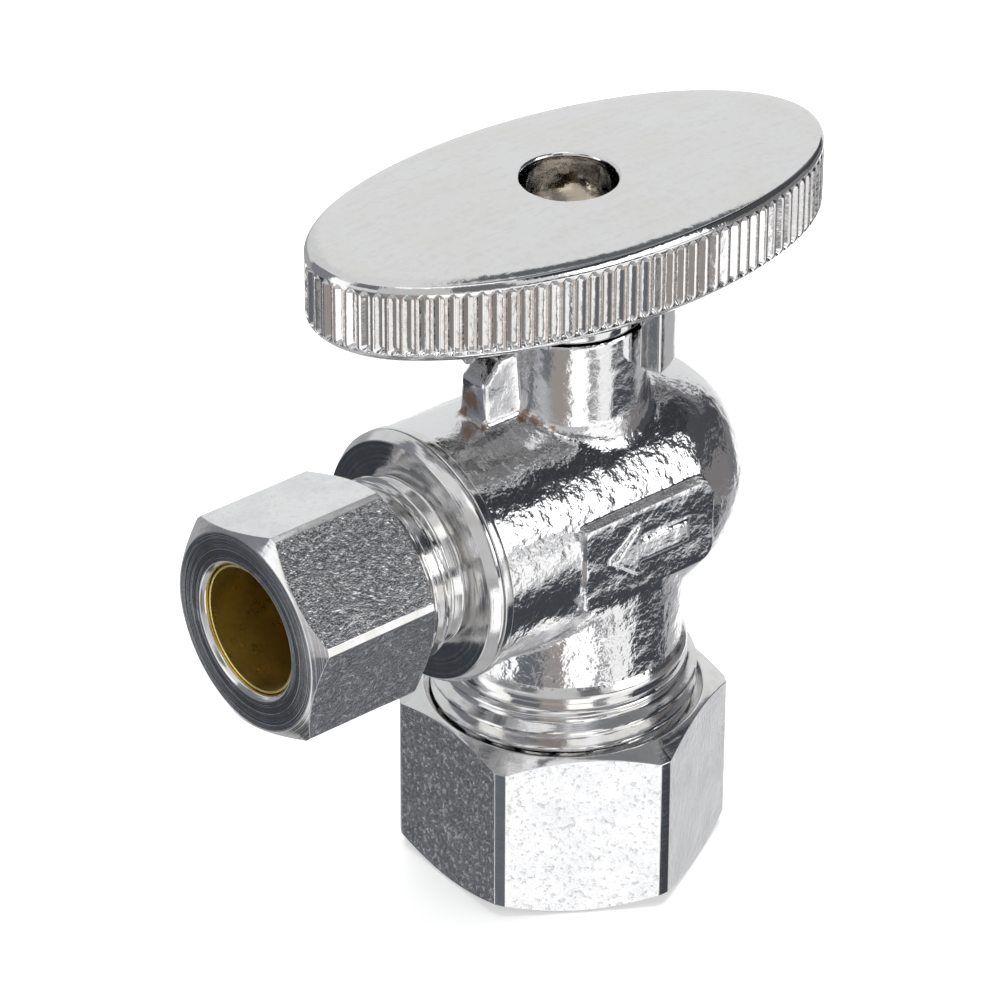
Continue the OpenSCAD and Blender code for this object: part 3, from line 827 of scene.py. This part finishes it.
def make_inlet_nut():
    angles, radii, flats = hex_columns(INLET_AF, INLET_VERTEX, INLET_ROUNDING)
    root = INLET_ROOT_R + THREAD_GAP
    start = BODY_END - THREAD_REACH
    mouth_r = INLET_MOUTH_R
    top = INLET_NUT_H
    hole = INLET_BORE_R
    outside = rounded_path(
        profile((mouth_r, top, 0.0)) + nut_rows(radii, INLET_FLAT_R, 0, top)[::-1] + profile(
            (hole, 0, 0.08), (hole, 0.8, 0), (hole, 1.7, 0.05),
            (hole + 1.3, 3, 0), (hole + 1.3, start - 0.3, 0), (root, start - 0.05, 0),
        ), closed=False)
    thread = thread_rows(angles, root, INLET_CREST_R + THREAD_GAP, INLET_PITCH, start, top,
                         (0.8, 1))
    thread[..., 0] = np.maximum(thread[..., 0], mouth_r - 1.3 * (top - thread[..., 1]) / 0.9)
    path = np.concatenate([outside, thread[:, :-1]], 1)
    finishes = nut_finishes(path, flats)
    nut = turned_piece("inlet_nut_hex", angles, path,
                       [blasted_chrome("inlet_flats"), turned_chrome("inlet_nut_marks", False),
                        raw_brass(), turned_chrome("inlet_corners", False, 0.6)], finishes)
    return finish_piece(weighted(nut), "inlet_nut", "inlet_nut")


# ---------------------------------------------------------------- handle

def oval_columns():
    """Angle parameter of the oval at each column, and how deep the flute is there."""
    fine = np.linspace(0, 2 * math.pi, 7201)
    outline = np.stack([OVAL_A * np.cos(fine), OVAL_B * np.sin(fine)], -1)
    lengths = np.concatenate([[0], np.cumsum(np.linalg.norm(np.diff(outline, axis=0), axis=1))])
    within = np.array([-0.43, -0.39, -0.29, -0.19, -0.1, -0.03, 0.03, 0.1, 0.19, 0.29, 0.39, 0.43])
    deep = np.clip(1 - np.abs(within) / FLUTE_HALF, 0, 1)
    steps = (np.arange(FLUTES)[:, None] + within).reshape(-1) / FLUTES
    return np.interp(steps % 1 * lengths[-1], lengths, fine), np.tile(deep, FLUTES)


def at_height(across, up, height):
    """Row of points from their two places and one height, or one for each."""
    return np.stack([across, up, np.broadcast_to(height, across.shape)], -1)


def oval_row(parameter, inset, height):
    """Row along the oval, drawn in by an inset."""
    a, b = OVAL_A - inset, OVAL_B - inset
    return at_height(a * np.cos(parameter), b * np.sin(parameter), height)


def circle_row(parameter, radius, height):
    """Row along a circle, whose columns look the same way as the oval's."""
    direction = np.arctan2(OVAL_B * np.sin(parameter), OVAL_A * np.cos(parameter))
    return at_height(radius * np.cos(direction), radius * np.sin(direction), height)


def square_row(parameter, half, height):
    """Row along a square."""
    x, y, _ = circle_row(parameter, 1.0, height).T
    return circle_row(parameter, half / np.maximum(np.abs(x), np.abs(y)), height)


def crowned(points):
    """A row lifted onto the handle's domed top."""
    x, y, _ = points.T
    return at_height(x, y, HANDLE_TOP - CROWN_DROP * ((x / OVAL_A) ** 2 + (y / OVAL_B) ** 2))


def fluted_row(columns, inset, height):
    """Row along the rim, cut by the flutes, which taper to a point at their tops."""
    parameter, deep = columns
    left = np.clip((height - FLUTE_FULL) / (FLUTE_TOP - FLUTE_FULL), 0, 1)
    return oval_row(parameter, np.maximum(inset, FLUTE_DEPTH * np.maximum(deep - left, 0)), height)


def top_corners(parameter):
    """Screw hole, recess and domed top, as corners for rounded_path."""
    inner = circle_row(parameter, RECESS_R + 0.55, HANDLE_TOP)
    outer = oval_row(parameter, UPPER_BEVEL + 0.12, RIM_TOP)
    hole = [
        (SCREW_HOLE_R, SOCKET_TOP, 0), (SCREW_HOLE_R, WEB_TOP, 0.1), (RECESS_R - 0.25, WEB_TOP, 0.1),
        (RECESS_R, WEB_TOP + 0.3, 0.2), (RECESS_R, HANDLE_TOP - 0.7, 0.2),
        (RECESS_R + 0.05, HANDLE_TOP - 0.02, 0.5),
    ]
    return [(circle_row(parameter, radius, height), rounding) for radius, height, rounding in hole] + [
        (crowned(inner * (1 - t) + outer * t), 0) for t in np.linspace(0.02, 1, 11)]


def rim_corners(columns):
    """Upper bevel, flutes and lower bevel. The bevels bulge, and the lower closes the flutes."""
    parameter, deep = columns
    corners = []
    fall = RIM_TOP - BEVEL_START
    for part in (0.05, 0.15, 0.3, 0.45, 0.6, 0.75, 0.9, 1):
        inset = UPPER_BEVEL * (1 - part) - BEVEL_BULGE * math.sin(math.pi * part)
        corners.append((fluted_row(columns, inset, RIM_TOP - fall * part), 0))
    for height in (*np.linspace(BEVEL_START - 0.06, FLUTE_FULL, 8), *FLUTE_ROWS):
        corners.append((fluted_row(columns, 0, height), 0))
    fall = FLUTE_BOTTOM - RIM_BOTTOM
    for part in np.linspace(0, 1, 10):
        inset = np.maximum(LOWER_BEVEL * part ** 1.7, FLUTE_DEPTH * deep * ramp(-part, -0.3, 0))
        corners.append((oval_row(parameter, inset, FLUTE_BOTTOM - part * fall), 0))
    return corners


def under_corners(parameter):
    """Underside of the rim and plate, hub, and the stem's square socket."""
    return [
        (oval_row(parameter, LOWER_BEVEL + 0.25, RIM_BOTTOM - 0.02), 0.1),
        (oval_row(parameter, RIM_WALL, RIM_BOTTOM), 0.3),
        (oval_row(parameter, RIM_WALL + 0.15, PLATE_BOTTOM), 0.5),
        (circle_row(parameter, BOSS_R + 0.1, PLATE_BOTTOM), 0.5),
        (circle_row(parameter, BOSS_R, HUB_BOTTOM), 0.25),
        (circle_row(parameter, STEM_TOP_R, HUB_BOTTOM), 0.05),
        (circle_row(parameter, STEM_TOP_R, SQUARE_BOTTOM), 0),
        (square_row(parameter, SQUARE_HALF, SQUARE_BOTTOM), 0),
        (square_row(parameter, SQUARE_HALF, SOCKET_TOP), 0),
    ]


def turned_by(x, y, degrees):
    """Two coordinates turned about the stem's axis."""
    cos, sin = math.cos(math.radians(degrees)), math.sin(math.radians(degrees))
    return x * cos - y * sin, x * sin + y * cos


def make_handle():
    columns = oval_columns()
    parameter = columns[0]
    path = rounded_path(top_corners(parameter) + rim_corners(columns) + under_corners(parameter))
    points = np.stack([*turned_by(path[..., 0], path[..., 1], HANDLE_TURN), path[..., 2]], -1)
    handle = add_piece("handle_oval", points, grid_faces(*path.shape[:2]))
    combine(handle, (skirt(), "UNION"), *[(rib(side), "UNION") for side in (1, -1)])
    set_finishes(handle.data, [handle_chrome(), ridge_chrome()], ridge_finishes(handle.data))
    shade(handle.data, 35)
    return finish_piece(weighted(handle), "handle", "handle")


def ridge_finishes(mesh):
    """Material index of each face of the handle: 1 on the crests between the flutes."""
    x, y, z = face_centres(mesh)
    along, across = turned_by(x, y, -HANDLE_TURN)
    share = np.hypot(along / OVAL_A, across / OVAL_B)
    return ((share > 0.9988) & (z > FLUTE_BOTTOM) & (z < FLUTE_FULL + 0.2)).astype(int)


def skirt():
    """Stop skirt: a curved wall round the boss, under the plate."""
    start, end = (math.radians(angle) for angle in SKIRT_ANGLES)
    middle = (SKIRT_IN + SKIRT_OUT) / 2
    top = PLATE_BOTTOM + 0.5

    def place(across, up, along):
        angle = start + along / middle
        radius = middle + across
        return radius * math.cos(angle), radius * math.sin(angle), (SKIRT_BOTTOM + top) / 2 + up

    return bar("skirt", SKIRT_OUT - SKIRT_IN, top - SKIRT_BOTTOM, (end - start) * middle, 0.25,
               place, steps=60)


def rib(side):
    """Rib under the plate, from the hub to the rim."""
    low, high = RIB_BOTTOM, PLATE_BOTTOM + 0.5

    def place(across, up, along):
        x, y = side * (BOSS_R - 1 + along), side * across
        return (*turned_by(x, y, HANDLE_TURN), (low + high) / 2 + up)

    return bar(f"rib{side}", RIB_W, high - low, OVAL_A - BOSS_R - 1, 0.2, place)


# ---------------------------------------------------------------- materials

def add_node(tree, kind, inputs=None, **settings):
    """Adds a node. Inputs are set by socket name or number, to a value or another's output."""
    made = tree.nodes.new(kind)
    for name, value in settings.items():
        setattr(made, name, value)
    for key, value in (inputs or {}).items():
        if isinstance(value, bpy.types.NodeSocket):
            tree.links.new(value, made.inputs[key])
        else:
            made.inputs[key].default_value = value
    return made


def math_node(tree, operation, *values, clamp=False):
    made = add_node(tree, "ShaderNodeMath", dict(enumerate(values)), operation=operation,
                    use_clamp=clamp)
    return made.outputs[0]


def noise(tree, places, scale, detail=2.0, roughness=0.5):
    """Noise from 0 to 1. scale is in features per millimetre."""
    made = add_node(tree, "ShaderNodeTexNoise", {
        "Vector": places, "Scale": scale, "Detail": detail, "Roughness": roughness,
    })
    return made.outputs["Fac"]


def remap(tree, value, low, high, to_low, to_high):
    made = add_node(tree, "ShaderNodeMapRange", {
        "Value": value, "From Min": low, "From Max": high, "To Min": to_low, "To Max": to_high,
    }, interpolation_type="SMOOTHSTEP")
    return made.outputs[0]


def colour_mix(tree, share, first, second):
    made = add_node(tree, "ShaderNodeMix", data_type="RGBA")
    for socket, value in ((0, share), (6, first), (7, second)):
        if isinstance(value, bpy.types.NodeSocket):
            tree.links.new(value, made.inputs[socket])
        else:
            made.inputs[socket].default_value = (*value, 1) if isinstance(value, tuple) else value
    return made.outputs[2]


def millimetres(tree, stretch=(1, 1, 1)):
    """The object's own coordinates in millimetres."""
    coordinates = add_node(tree, "ShaderNodeTexCoord")
    scaled = add_node(tree, "ShaderNodeMapping", {
        "Vector": coordinates.outputs["Object"], "Scale": [part / MM for part in stretch],
    })
    return scaled.outputs[0]


def new_material(name, metallic=1.0):
    """A material and its Principled node."""
    material = bpy.data.materials.new(name)
    material.use_nodes = True
    tree = material.node_tree
    shader = tree.nodes["Principled BSDF"]
    shader.inputs["Metallic"].default_value = metallic
    return material, tree, shader


def connect(tree, shader, **sockets):
    for name, value in sockets.items():
        tree.links.new(value, shader.inputs[name.replace("_", " ")])


def bump(tree, *layers):
    """Normal with layers of bump, each a height from 0 to 1 and its size in millimetres."""
    under = {}
    for height, distance in layers:
        made = add_node(tree, "ShaderNodeBump", {
            "Height": height, "Distance": distance * MM, "Strength": 1.0, **under,
        })
        under = {"Normal": made.outputs[0]}
    return made.outputs[0]


def two_tone(tree, value, limits, first, second):
    """One colour below the first limit of a value, another above the second."""
    return colour_mix(tree, remap(tree, value, *limits, 0, 1), first, second)


def near(tree, places, centre, reach):
    """1 at a point, falling to 0 at its reach."""
    away = add_node(tree, "ShaderNodeVectorMath", {0: places, 1: centre}, operation="DISTANCE")
    return remap(tree, away.outputs["Value"], 0.4 * reach, reach, 1, 0)


def forged_chrome():
    """Chrome plate over a rough forging: pebbled, with a few rusty stains and brown painted shade in
    its corners.
    """
    material, tree, shader = new_material("forged_chrome")
    places = millimetres(tree)
    height = add_node(tree, "ShaderNodeSeparateXYZ", {0: places}).outputs[2]
    lower = remap(tree, height, 22, 27, 1, 0)
    upper = remap(tree, height, 38.5, 41.5, 1, 0.45)
    broad = noise(tree, places, 0.45, 2)
    pebble = math_node(tree, "MULTIPLY", upper, noise(tree, places, 1.3, 2, 0.55))
    middle = math_node(tree, "MULTIPLY", upper, noise(tree, places, 2.9, 2, 0.6))
    fine = noise(tree, places, 6.0, 2, 0.6)
    pebble = math_node(tree, "MULTIPLY", pebble, remap(tree, lower, 0, 1, 1, 1.5))
    normal = bump(tree, (broad, 0.09), (pebble, 0.065), (middle, 0.022), (fine, 0.006))
    # Rusty stains, with brown painted shade in the corners, darken the colour and roughen it.
    stain_and_shade = rust_and_shade_share(tree, places)
    stain_and_shade = math_node(tree, "MULTIPLY", stain_and_shade, remap(tree, middle, 0.3, 0.55, 1, 0.35))
    colour = colour_mix(tree, stain_and_shade, COLOURS["chrome"], COLOURS["rust_and_shade"])
    rough = remap(tree, fine, 0.3, 0.7, 0.09, 0.16)
    rough = math_node(tree, "ADD", rough, math_node(tree, "MULTIPLY", stain_and_shade, 0.25))
    connect(tree, shader, Base_Color=colour, Roughness=rough, Normal=normal)
    return material


def rust_and_shade_share(tree, places):
    """How rusty and shaded the forging is, from 0 to 1: ragged stains round a few spots in its
    corners, which are also painted shade.
    """
    ragged = add_node(tree, "ShaderNodeTexNoise", {"Vector": places, "Scale": 1.6, "Detail": 3.0})
    shift = add_node(tree, "ShaderNodeVectorMath", {0: ragged.outputs["Color"],
                                                    1: (0.5, 0.5, 0.5)}, operation="SUBTRACT")
    moved = add_node(tree, "ShaderNodeVectorMath", {0: shift.outputs[0], 1: (1.6, 1.6, 1.6),
                                                    2: places}, operation="MULTIPLY_ADD")
    share = remap(tree, noise(tree, places, 0.35, 3, 0.6), 0.72, 0.78, 0, 0.6)
    # Spots in the corners: rusty stains and brown painted shade.
    for centre, reach in RUST_AND_SHADE_SPOTS:
        spot = near(tree, moved.outputs[0], centre, reach)
        share = math_node(tree, "MAXIMUM", share, spot)
    return math_node(tree, "MULTIPLY", share, 0.85)


def turning_places(tree, along_outlet):
    """Coordinates for turning marks: distance along the axis and distance from it."""
    parts = add_node(tree, "ShaderNodeSeparateXYZ", {0: millimetres(tree)}).outputs
    if along_outlet:
        along, side, up = parts[0], parts[1], math_node(tree, "SUBTRACT", parts[2], OUTLET_H)
    else:
        along, side, up = parts[2], parts[0], parts[1]
    across = math_node(tree, "SQRT", math_node(
        tree, "ADD", math_node(tree, "POWER", side, 2.0), math_node(tree, "POWER", up, 2.0)))
    return add_node(tree, "ShaderNodeCombineXYZ", {0: along, 1: across}).outputs[0]


def turned_chrome(name, along_outlet, marks=1.0):
    """Smooth chrome with fine turning marks round the piece's axis."""
    material, tree, shader = new_material(name)
    lines = noise(tree, turning_places(tree, along_outlet), 3.5, 3, 0.7)
    soft = noise(tree, millimetres(tree), 0.6, 2)
    grain = noise(tree, millimetres(tree), 5.0, 2, 0.6)
    colour = two_tone(tree, soft, (0.35, 0.7), COLOURS["chrome"], (0.74, 0.73, 0.71))
    connect(tree, shader, Base_Color=colour, Roughness=remap(tree, lines, 0.3, 0.7, 0.07, 0.16),
            Normal=bump(tree, (lines, 0.012 * marks), (soft, 0.02), (grain, 0.004)))
    return material


def blasted_chrome(name):
    """Chrome over a blasted flat: fine grain, with a few scratches and faint clouds."""
    material, tree, shader = new_material(name)
    places = millimetres(tree)
    grain = noise(tree, places, 2.6, 4, 0.75)
    fine = noise(tree, places, 7.0, 2, 0.6)
    clouds = noise(tree, places, 0.35, 3, 0.55)
    dents = remap(tree, noise(tree, places, 2.3, 3, 0.65), 0.55, 0.72, 0, 1)
    colour = two_tone(tree, clouds, (0.35, 0.68), (0.87, 0.875, 0.88), (0.79, 0.795, 0.81))
    connect(tree, shader, Base_Color=colour, Roughness=remap(tree, grain, 0.3, 0.7, 0.13, 0.24),
            Normal=bump(tree, (grain, 0.034), (fine, 0.006), (dents, -0.014)))
    return material


def handle_chrome():
    """Polished chrome with faint mottling."""
    material, tree, shader = new_material("handle_chrome")
    places = millimetres(tree)
    cloudy = noise(tree, places, 0.25, 3, 0.6)
    fine = noise(tree, places, 1.8, 3, 0.6)
    lines = noise(tree, millimetres(tree, (0.25, 1.6, 1)), 1.0, 3, 0.65)
    colour = two_tone(tree, cloudy, (0.3, 0.75), COLOURS["chrome"], (0.78, 0.775, 0.76))
    colour = colour_mix(tree, remap(tree, math_node(tree, "MULTIPLY", fine, lines), 0.2, 0.4, 0, 0.6),
                        colour, (0.73, 0.725, 0.71))
    connect(tree, shader, Base_Color=colour, Roughness=remap(tree, fine, 0.3, 0.7, 0.05, 0.11),
            Normal=bump(tree, (cloudy, 0.06), (fine, 0.010), (lines, 0.010)))
    return material


def ridge_chrome():
    """Duller, warmer plate on the crests between the flutes."""
    material, tree, shader = new_material("ridge_chrome")
    places = millimetres(tree)
    worn = noise(tree, places, 2.2, 3, 0.65)
    colour = two_tone(tree, worn, (0.3, 0.7), (0.76, 0.71, 0.68), (0.52, 0.47, 0.44))
    connect(tree, shader, Base_Color=colour, Roughness=remap(tree, worn, 0.3, 0.7, 0.18, 0.32),
            Normal=bump(tree, (worn, 0.02)))
    return material


def raw_brass(outlet=False):
    """Unplated brass with turning marks. In the outlet's mouth it darkens with depth, as painted shade
    in the deep bore.
    """
    name = "mouth_brass_painted_shade" if outlet else "raw_brass"
    known = bpy.data.materials.get(name)
    if known:
        return known
    material, tree, shader = new_material(name)
    places = millimetres(tree)
    lines = noise(tree, millimetres(tree, (5, 0.2, 0.2)), 1.0, 3, 0.6)
    dull = noise(tree, places, 0.8, 3, 0.6)
    colour = two_tone(tree, dull, (0.35, 0.7), COLOURS["brass"], (0.95, 0.79, 0.32))
    if outlet:
        # Painted shade: the brass darkens deeper in the outlet's bore.
        depth = add_node(tree, "ShaderNodeSeparateXYZ", {0: places}).outputs[0]
        limits = (-OUTLET_FRONT + 3.0, -OUTLET_FRONT + 9.0)
        colour = two_tone(tree, depth, limits, colour, (0.60, 0.45, 0.16))
    connect(tree, shader, Base_Color=colour, Roughness=remap(tree, dull, 0.3, 0.7, 0.26, 0.36),
            Normal=bump(tree, (lines, 0.012)))
    return material


def plain_finish(name, first, second, scale, rough, height, metallic=0.0):
    """Two close colours mixed by noise, with matching roughness and bump."""
    material, tree, shader = new_material(name, metallic)
    value = noise(tree, millimetres(tree), scale, 3, 0.6)
    connect(tree, shader, Base_Color=colour_mix(tree, value, first, second),
            Roughness=remap(tree, value, 0.3, 0.7, *rough), Normal=bump(tree, (value, height)))
    return material


def dress_inner_parts():
    """Procedural finishes for the CAD parts that stay."""
    chrome = plain_finish("ball_chrome", (0.78, 0.78, 0.79), (0.7, 0.7, 0.71), 0.8, (0.04, 0.1),
                          0.01, 1.0)
    steel = plain_finish("screw_steel", (0.82, 0.74, 0.62), (0.52, 0.43, 0.33), 1.2, (0.15, 0.32),
                         0.03, 1.0)
    ptfe = plain_finish("ptfe", (0.88, 0.88, 0.86), (0.80, 0.80, 0.78), 0.9, (0.4, 0.55), 0.02)
    rubber = plain_finish("rubber_seal", (0.025, 0.025, 0.026), (0.05, 0.05, 0.05), 2.5,
                          (0.5, 0.7), 0.02)
    finishes = {
        "ball": chrome, "handle_screw": steel, "stem": raw_brass(), "outlet_seat": ptfe,
        "rear_seat": ptfe, "thrust_washer": ptfe, "adapter_oring": rubber,
        "stem_oring_lower": rubber, "stem_oring_upper": rubber,
    }
    for node, material in finishes.items():
        mesh = frame["nodes"][node].data
        mesh.materials.clear()
        mesh.materials.append(material)


# ---------------------------------------------------------------- stage, light and camera

# Studio as the metal sees it: azimuth from and to (counter-clockwise from +X), elevation
# from and to, softness, all in degrees, and brightness. Later entries lie over earlier ones.
STUDIO = [
    ((-180, 180), (-95, -2), 3, (0.50, 0.50, 0.51)),      # table, all round
    ((14, 64), (-46, 47), 5, (0.84, 0.845, 0.845)),         # wall behind
    ((13, 62), (-44, -20), 5, (1.25, 1.25, 1.25)),
    ((64, 108), (3, 47), 5, (0.72, 0.73, 0.73)),
    ((62, 108), (-36, 4), 5, (0.42, 0.42, 0.43)),
    ((108, 150), (-30, 46), 5, (0.24, 0.25, 0.27)),       # dim side behind
    ((111, 136), (-45, -25), 4, (0.045, 0.05, 0.06)),
    ((118, 168), (-85, -57), 5, (0.09, 0.10, 0.10)),
    ((151, 176), (-54, 30), 5, (1.25, 1.25, 1.25)),       # fill card, left
    ((176, 208), (-46, -22), 4, (0.15, 0.16, 0.18)),
    ((180, 206), (18, 46), 4, (0.18, 0.19, 0.20)),
    ((-152, -126), (-46, -18), 6, (0.36, 0.33, 0.31)),   # behind the camera
    ((-155, -118), (-5, 45), 5, (0.62, 0.62, 0.62)),      # camera's side
    ((-146, -88), (46, 62), 4, (1.40, 1.40, 1.40)),
    ((-117, -96), (4, 45), 4, (0.18, 0.18, 0.19)),
    ((-80, 12), (60, 95), 5, (0.22, 0.23, 0.24)),         # ceiling
    ((-62, 6), (54, 64), 8, (0.25, 0.26, 0.27)),
    ((6, 46), (46, 62), 5, (0.13, 0.14, 0.15)),
    ((-22, 8), (12, 47), 5, (0.20, 0.20, 0.21)),
    ((-88, -8), (34, 54), 3, (0.040, 0.043, 0.050)),      # flag over the softbox
    ((-54, -8), (3, 36), 4, (0.075, 0.078, 0.085)),       # flag beside it
    ((-14, 16), (-6, 14), 4, (0.07, 0.07, 0.08)),
    ((-82, -50), (8, 33), 3, (2.6, 2.6, 2.6)),            # softbox
    ((-95, -66), (-3, 7), 3, (0.07, 0.07, 0.08)),
    ((-108, -62), (-27, -4), 4, (1.25, 1.25, 1.24)),      # table lit by it
    ((-64, -50), (-25, -3), 4, (1.25, 1.25, 1.24)),
    ((-50, -12), (-27, 3), 4, (0.22, 0.21, 0.21)),
    ((-12, 16), (-27, -7), 4, (0.19, 0.19, 0.20)),
    ((-116, -88), (-56, -29), 4, (0.30, 0.30, 0.31)),
    ((-127, -100), (-50, -14), 5, (1.40, 1.40, 1.40)),    # card under the lens
    ((-86, -62), (-62, -28), 4, (1.10, 1.10, 1.09)),
    ((-60, -14), (-64, -29), 4, (0.06, 0.065, 0.075)),
    ((-56, -38), (-28, -17), 4, (0.60, 0.60, 0.61)),
]


def angular_mask(tree, angle, limits, soft):
    """1 where an angle in radians is between two limits in degrees, with soft edges."""
    middle = math.radians((limits[0] + limits[1]) / 2)
    half = math.radians((limits[1] - limits[0]) / 2)
    soft = math.radians(soft)
    away = math_node(tree, "SUBTRACT", angle, middle)
    away = math_node(tree, "WRAP", away, math.pi, -math.pi)
    away = math_node(tree, "ABSOLUTE", away)
    return remap(tree, away, half - soft / 2, half + soft / 2, 1, 0)


def studio_light():
    """World that lights the metal by direction, and is plain and pale to the camera."""
    world = bpy.data.worlds.new("studio")
    bpy.context.scene.world = world
    world.use_nodes = True
    tree = world.node_tree
    tree.nodes.clear()
    direction = add_node(tree, "ShaderNodeTexCoord").outputs["Generated"]
    parts = add_node(tree, "ShaderNodeSeparateXYZ", {0: direction}).outputs
    azimuth = math_node(tree, "ARCTAN2", parts[1], parts[0])
    elevation = math_node(tree, "ARCSINE", parts[2])
    colour = (0.80, 0.80, 0.81)
    for across, up, soft, brightness in STUDIO:
        share = math_node(tree, "MULTIPLY", angular_mask(tree, azimuth, across, soft),
                          angular_mask(tree, elevation, up, soft))
        colour = colour_mix(tree, share, colour, brightness)
    seen = add_node(tree, "ShaderNodeBackground", {"Color": colour})
    pale = add_node(tree, "ShaderNodeBackground", {"Color": (0.96, 0.96, 0.96, 1)})
    is_camera = add_node(tree, "ShaderNodeLightPath").outputs["Is Camera Ray"]
    mixed = add_node(tree, "ShaderNodeMixShader", {0: is_camera, 1: seen.outputs[0],
                                                   2: pale.outputs[0]})
    out = add_node(tree, "ShaderNodeOutputWorld")
    tree.links.new(mixed.outputs[0], out.inputs[0])


def overhead_light():
    """Large soft light for the floor, which the metal doesn't mirror."""
    light = bpy.data.lights.new("overhead", "AREA")
    light.shape = "DISK"
    light.size = LAMP_SIZE
    light.energy = LAMP_POWER
    lamp = bpy.data.objects.new("overhead", light)
    bpy.context.scene.collection.objects.link(lamp)
    lamp.location = LAMP_PLACE
    lamp.visible_glossy = False
    return lamp


def make_floor():
    """Plain pale floor, a hair below the valve."""
    count = 24
    places = np.linspace(-FLOOR_REACH, FLOOR_REACH, count)
    points = [(x, y, CAD_BOX[0][2] - FLOOR_GAP) for x in places for y in places]
    faces = [
        (i * count + j, (i + 1) * count + j, (i + 1) * count + j + 1, i * count + j + 1)
        for i in range(count - 1) for j in range(count - 1)
    ]
    mesh = bpy.data.meshes.new("floor")
    mesh.from_pydata(points, [], faces)
    material = plain_finish("floor_paper", (0.90, 0.90, 0.90), (0.88, 0.88, 0.88), 0.05,
                            (0.7, 0.9), 0.002)
    shader = material.node_tree.nodes["Principled BSDF"]
    shader.inputs["Emission Color"].default_value = (1, 1, 1, 1)
    shader.inputs["Emission Strength"].default_value = FLOOR_GLOW
    mesh.materials.append(material)
    floor = bpy.data.objects.new("floor", mesh)
    bpy.context.scene.collection.objects.link(floor)
    floor.visible_glossy = False


def make_camera():
    """Camera at the photograph's viewing angle."""
    a, e = math.radians(CAMERA_AZIMUTH), math.radians(CAMERA_ELEVATION)
    back = Vector((math.sin(a) * math.cos(e), -math.cos(a) * math.cos(e), math.sin(e)))
    data = bpy.data.cameras.new("camera")
    data.lens = LENS
    data.sensor_width = SENSOR
    data.clip_start = 0.01
    data.clip_end = 20
    camera = bpy.data.objects.new("camera", data)
    bpy.context.scene.collection.objects.link(camera)
    camera.matrix_world = (
        Matrix.Translation((Vector(CAMERA_TARGET) + back * CAMERA_DISTANCE) * MM)
        @ (-back).to_track_quat("-Z", "Y").to_matrix().to_4x4()
        @ Matrix.Rotation(math.radians(CAMERA_ROLL), 4, "Z")
    )
    bpy.context.scene.camera = camera


make_body()
make_adapter()
make_ferrules()
make_outlet_nut()
make_inlet_nut()
make_handle()
dress_inner_parts()
make_floor()
studio_light()
overhead_light()
make_camera()
bpy.context.scene.view_settings.view_transform = "Standard"
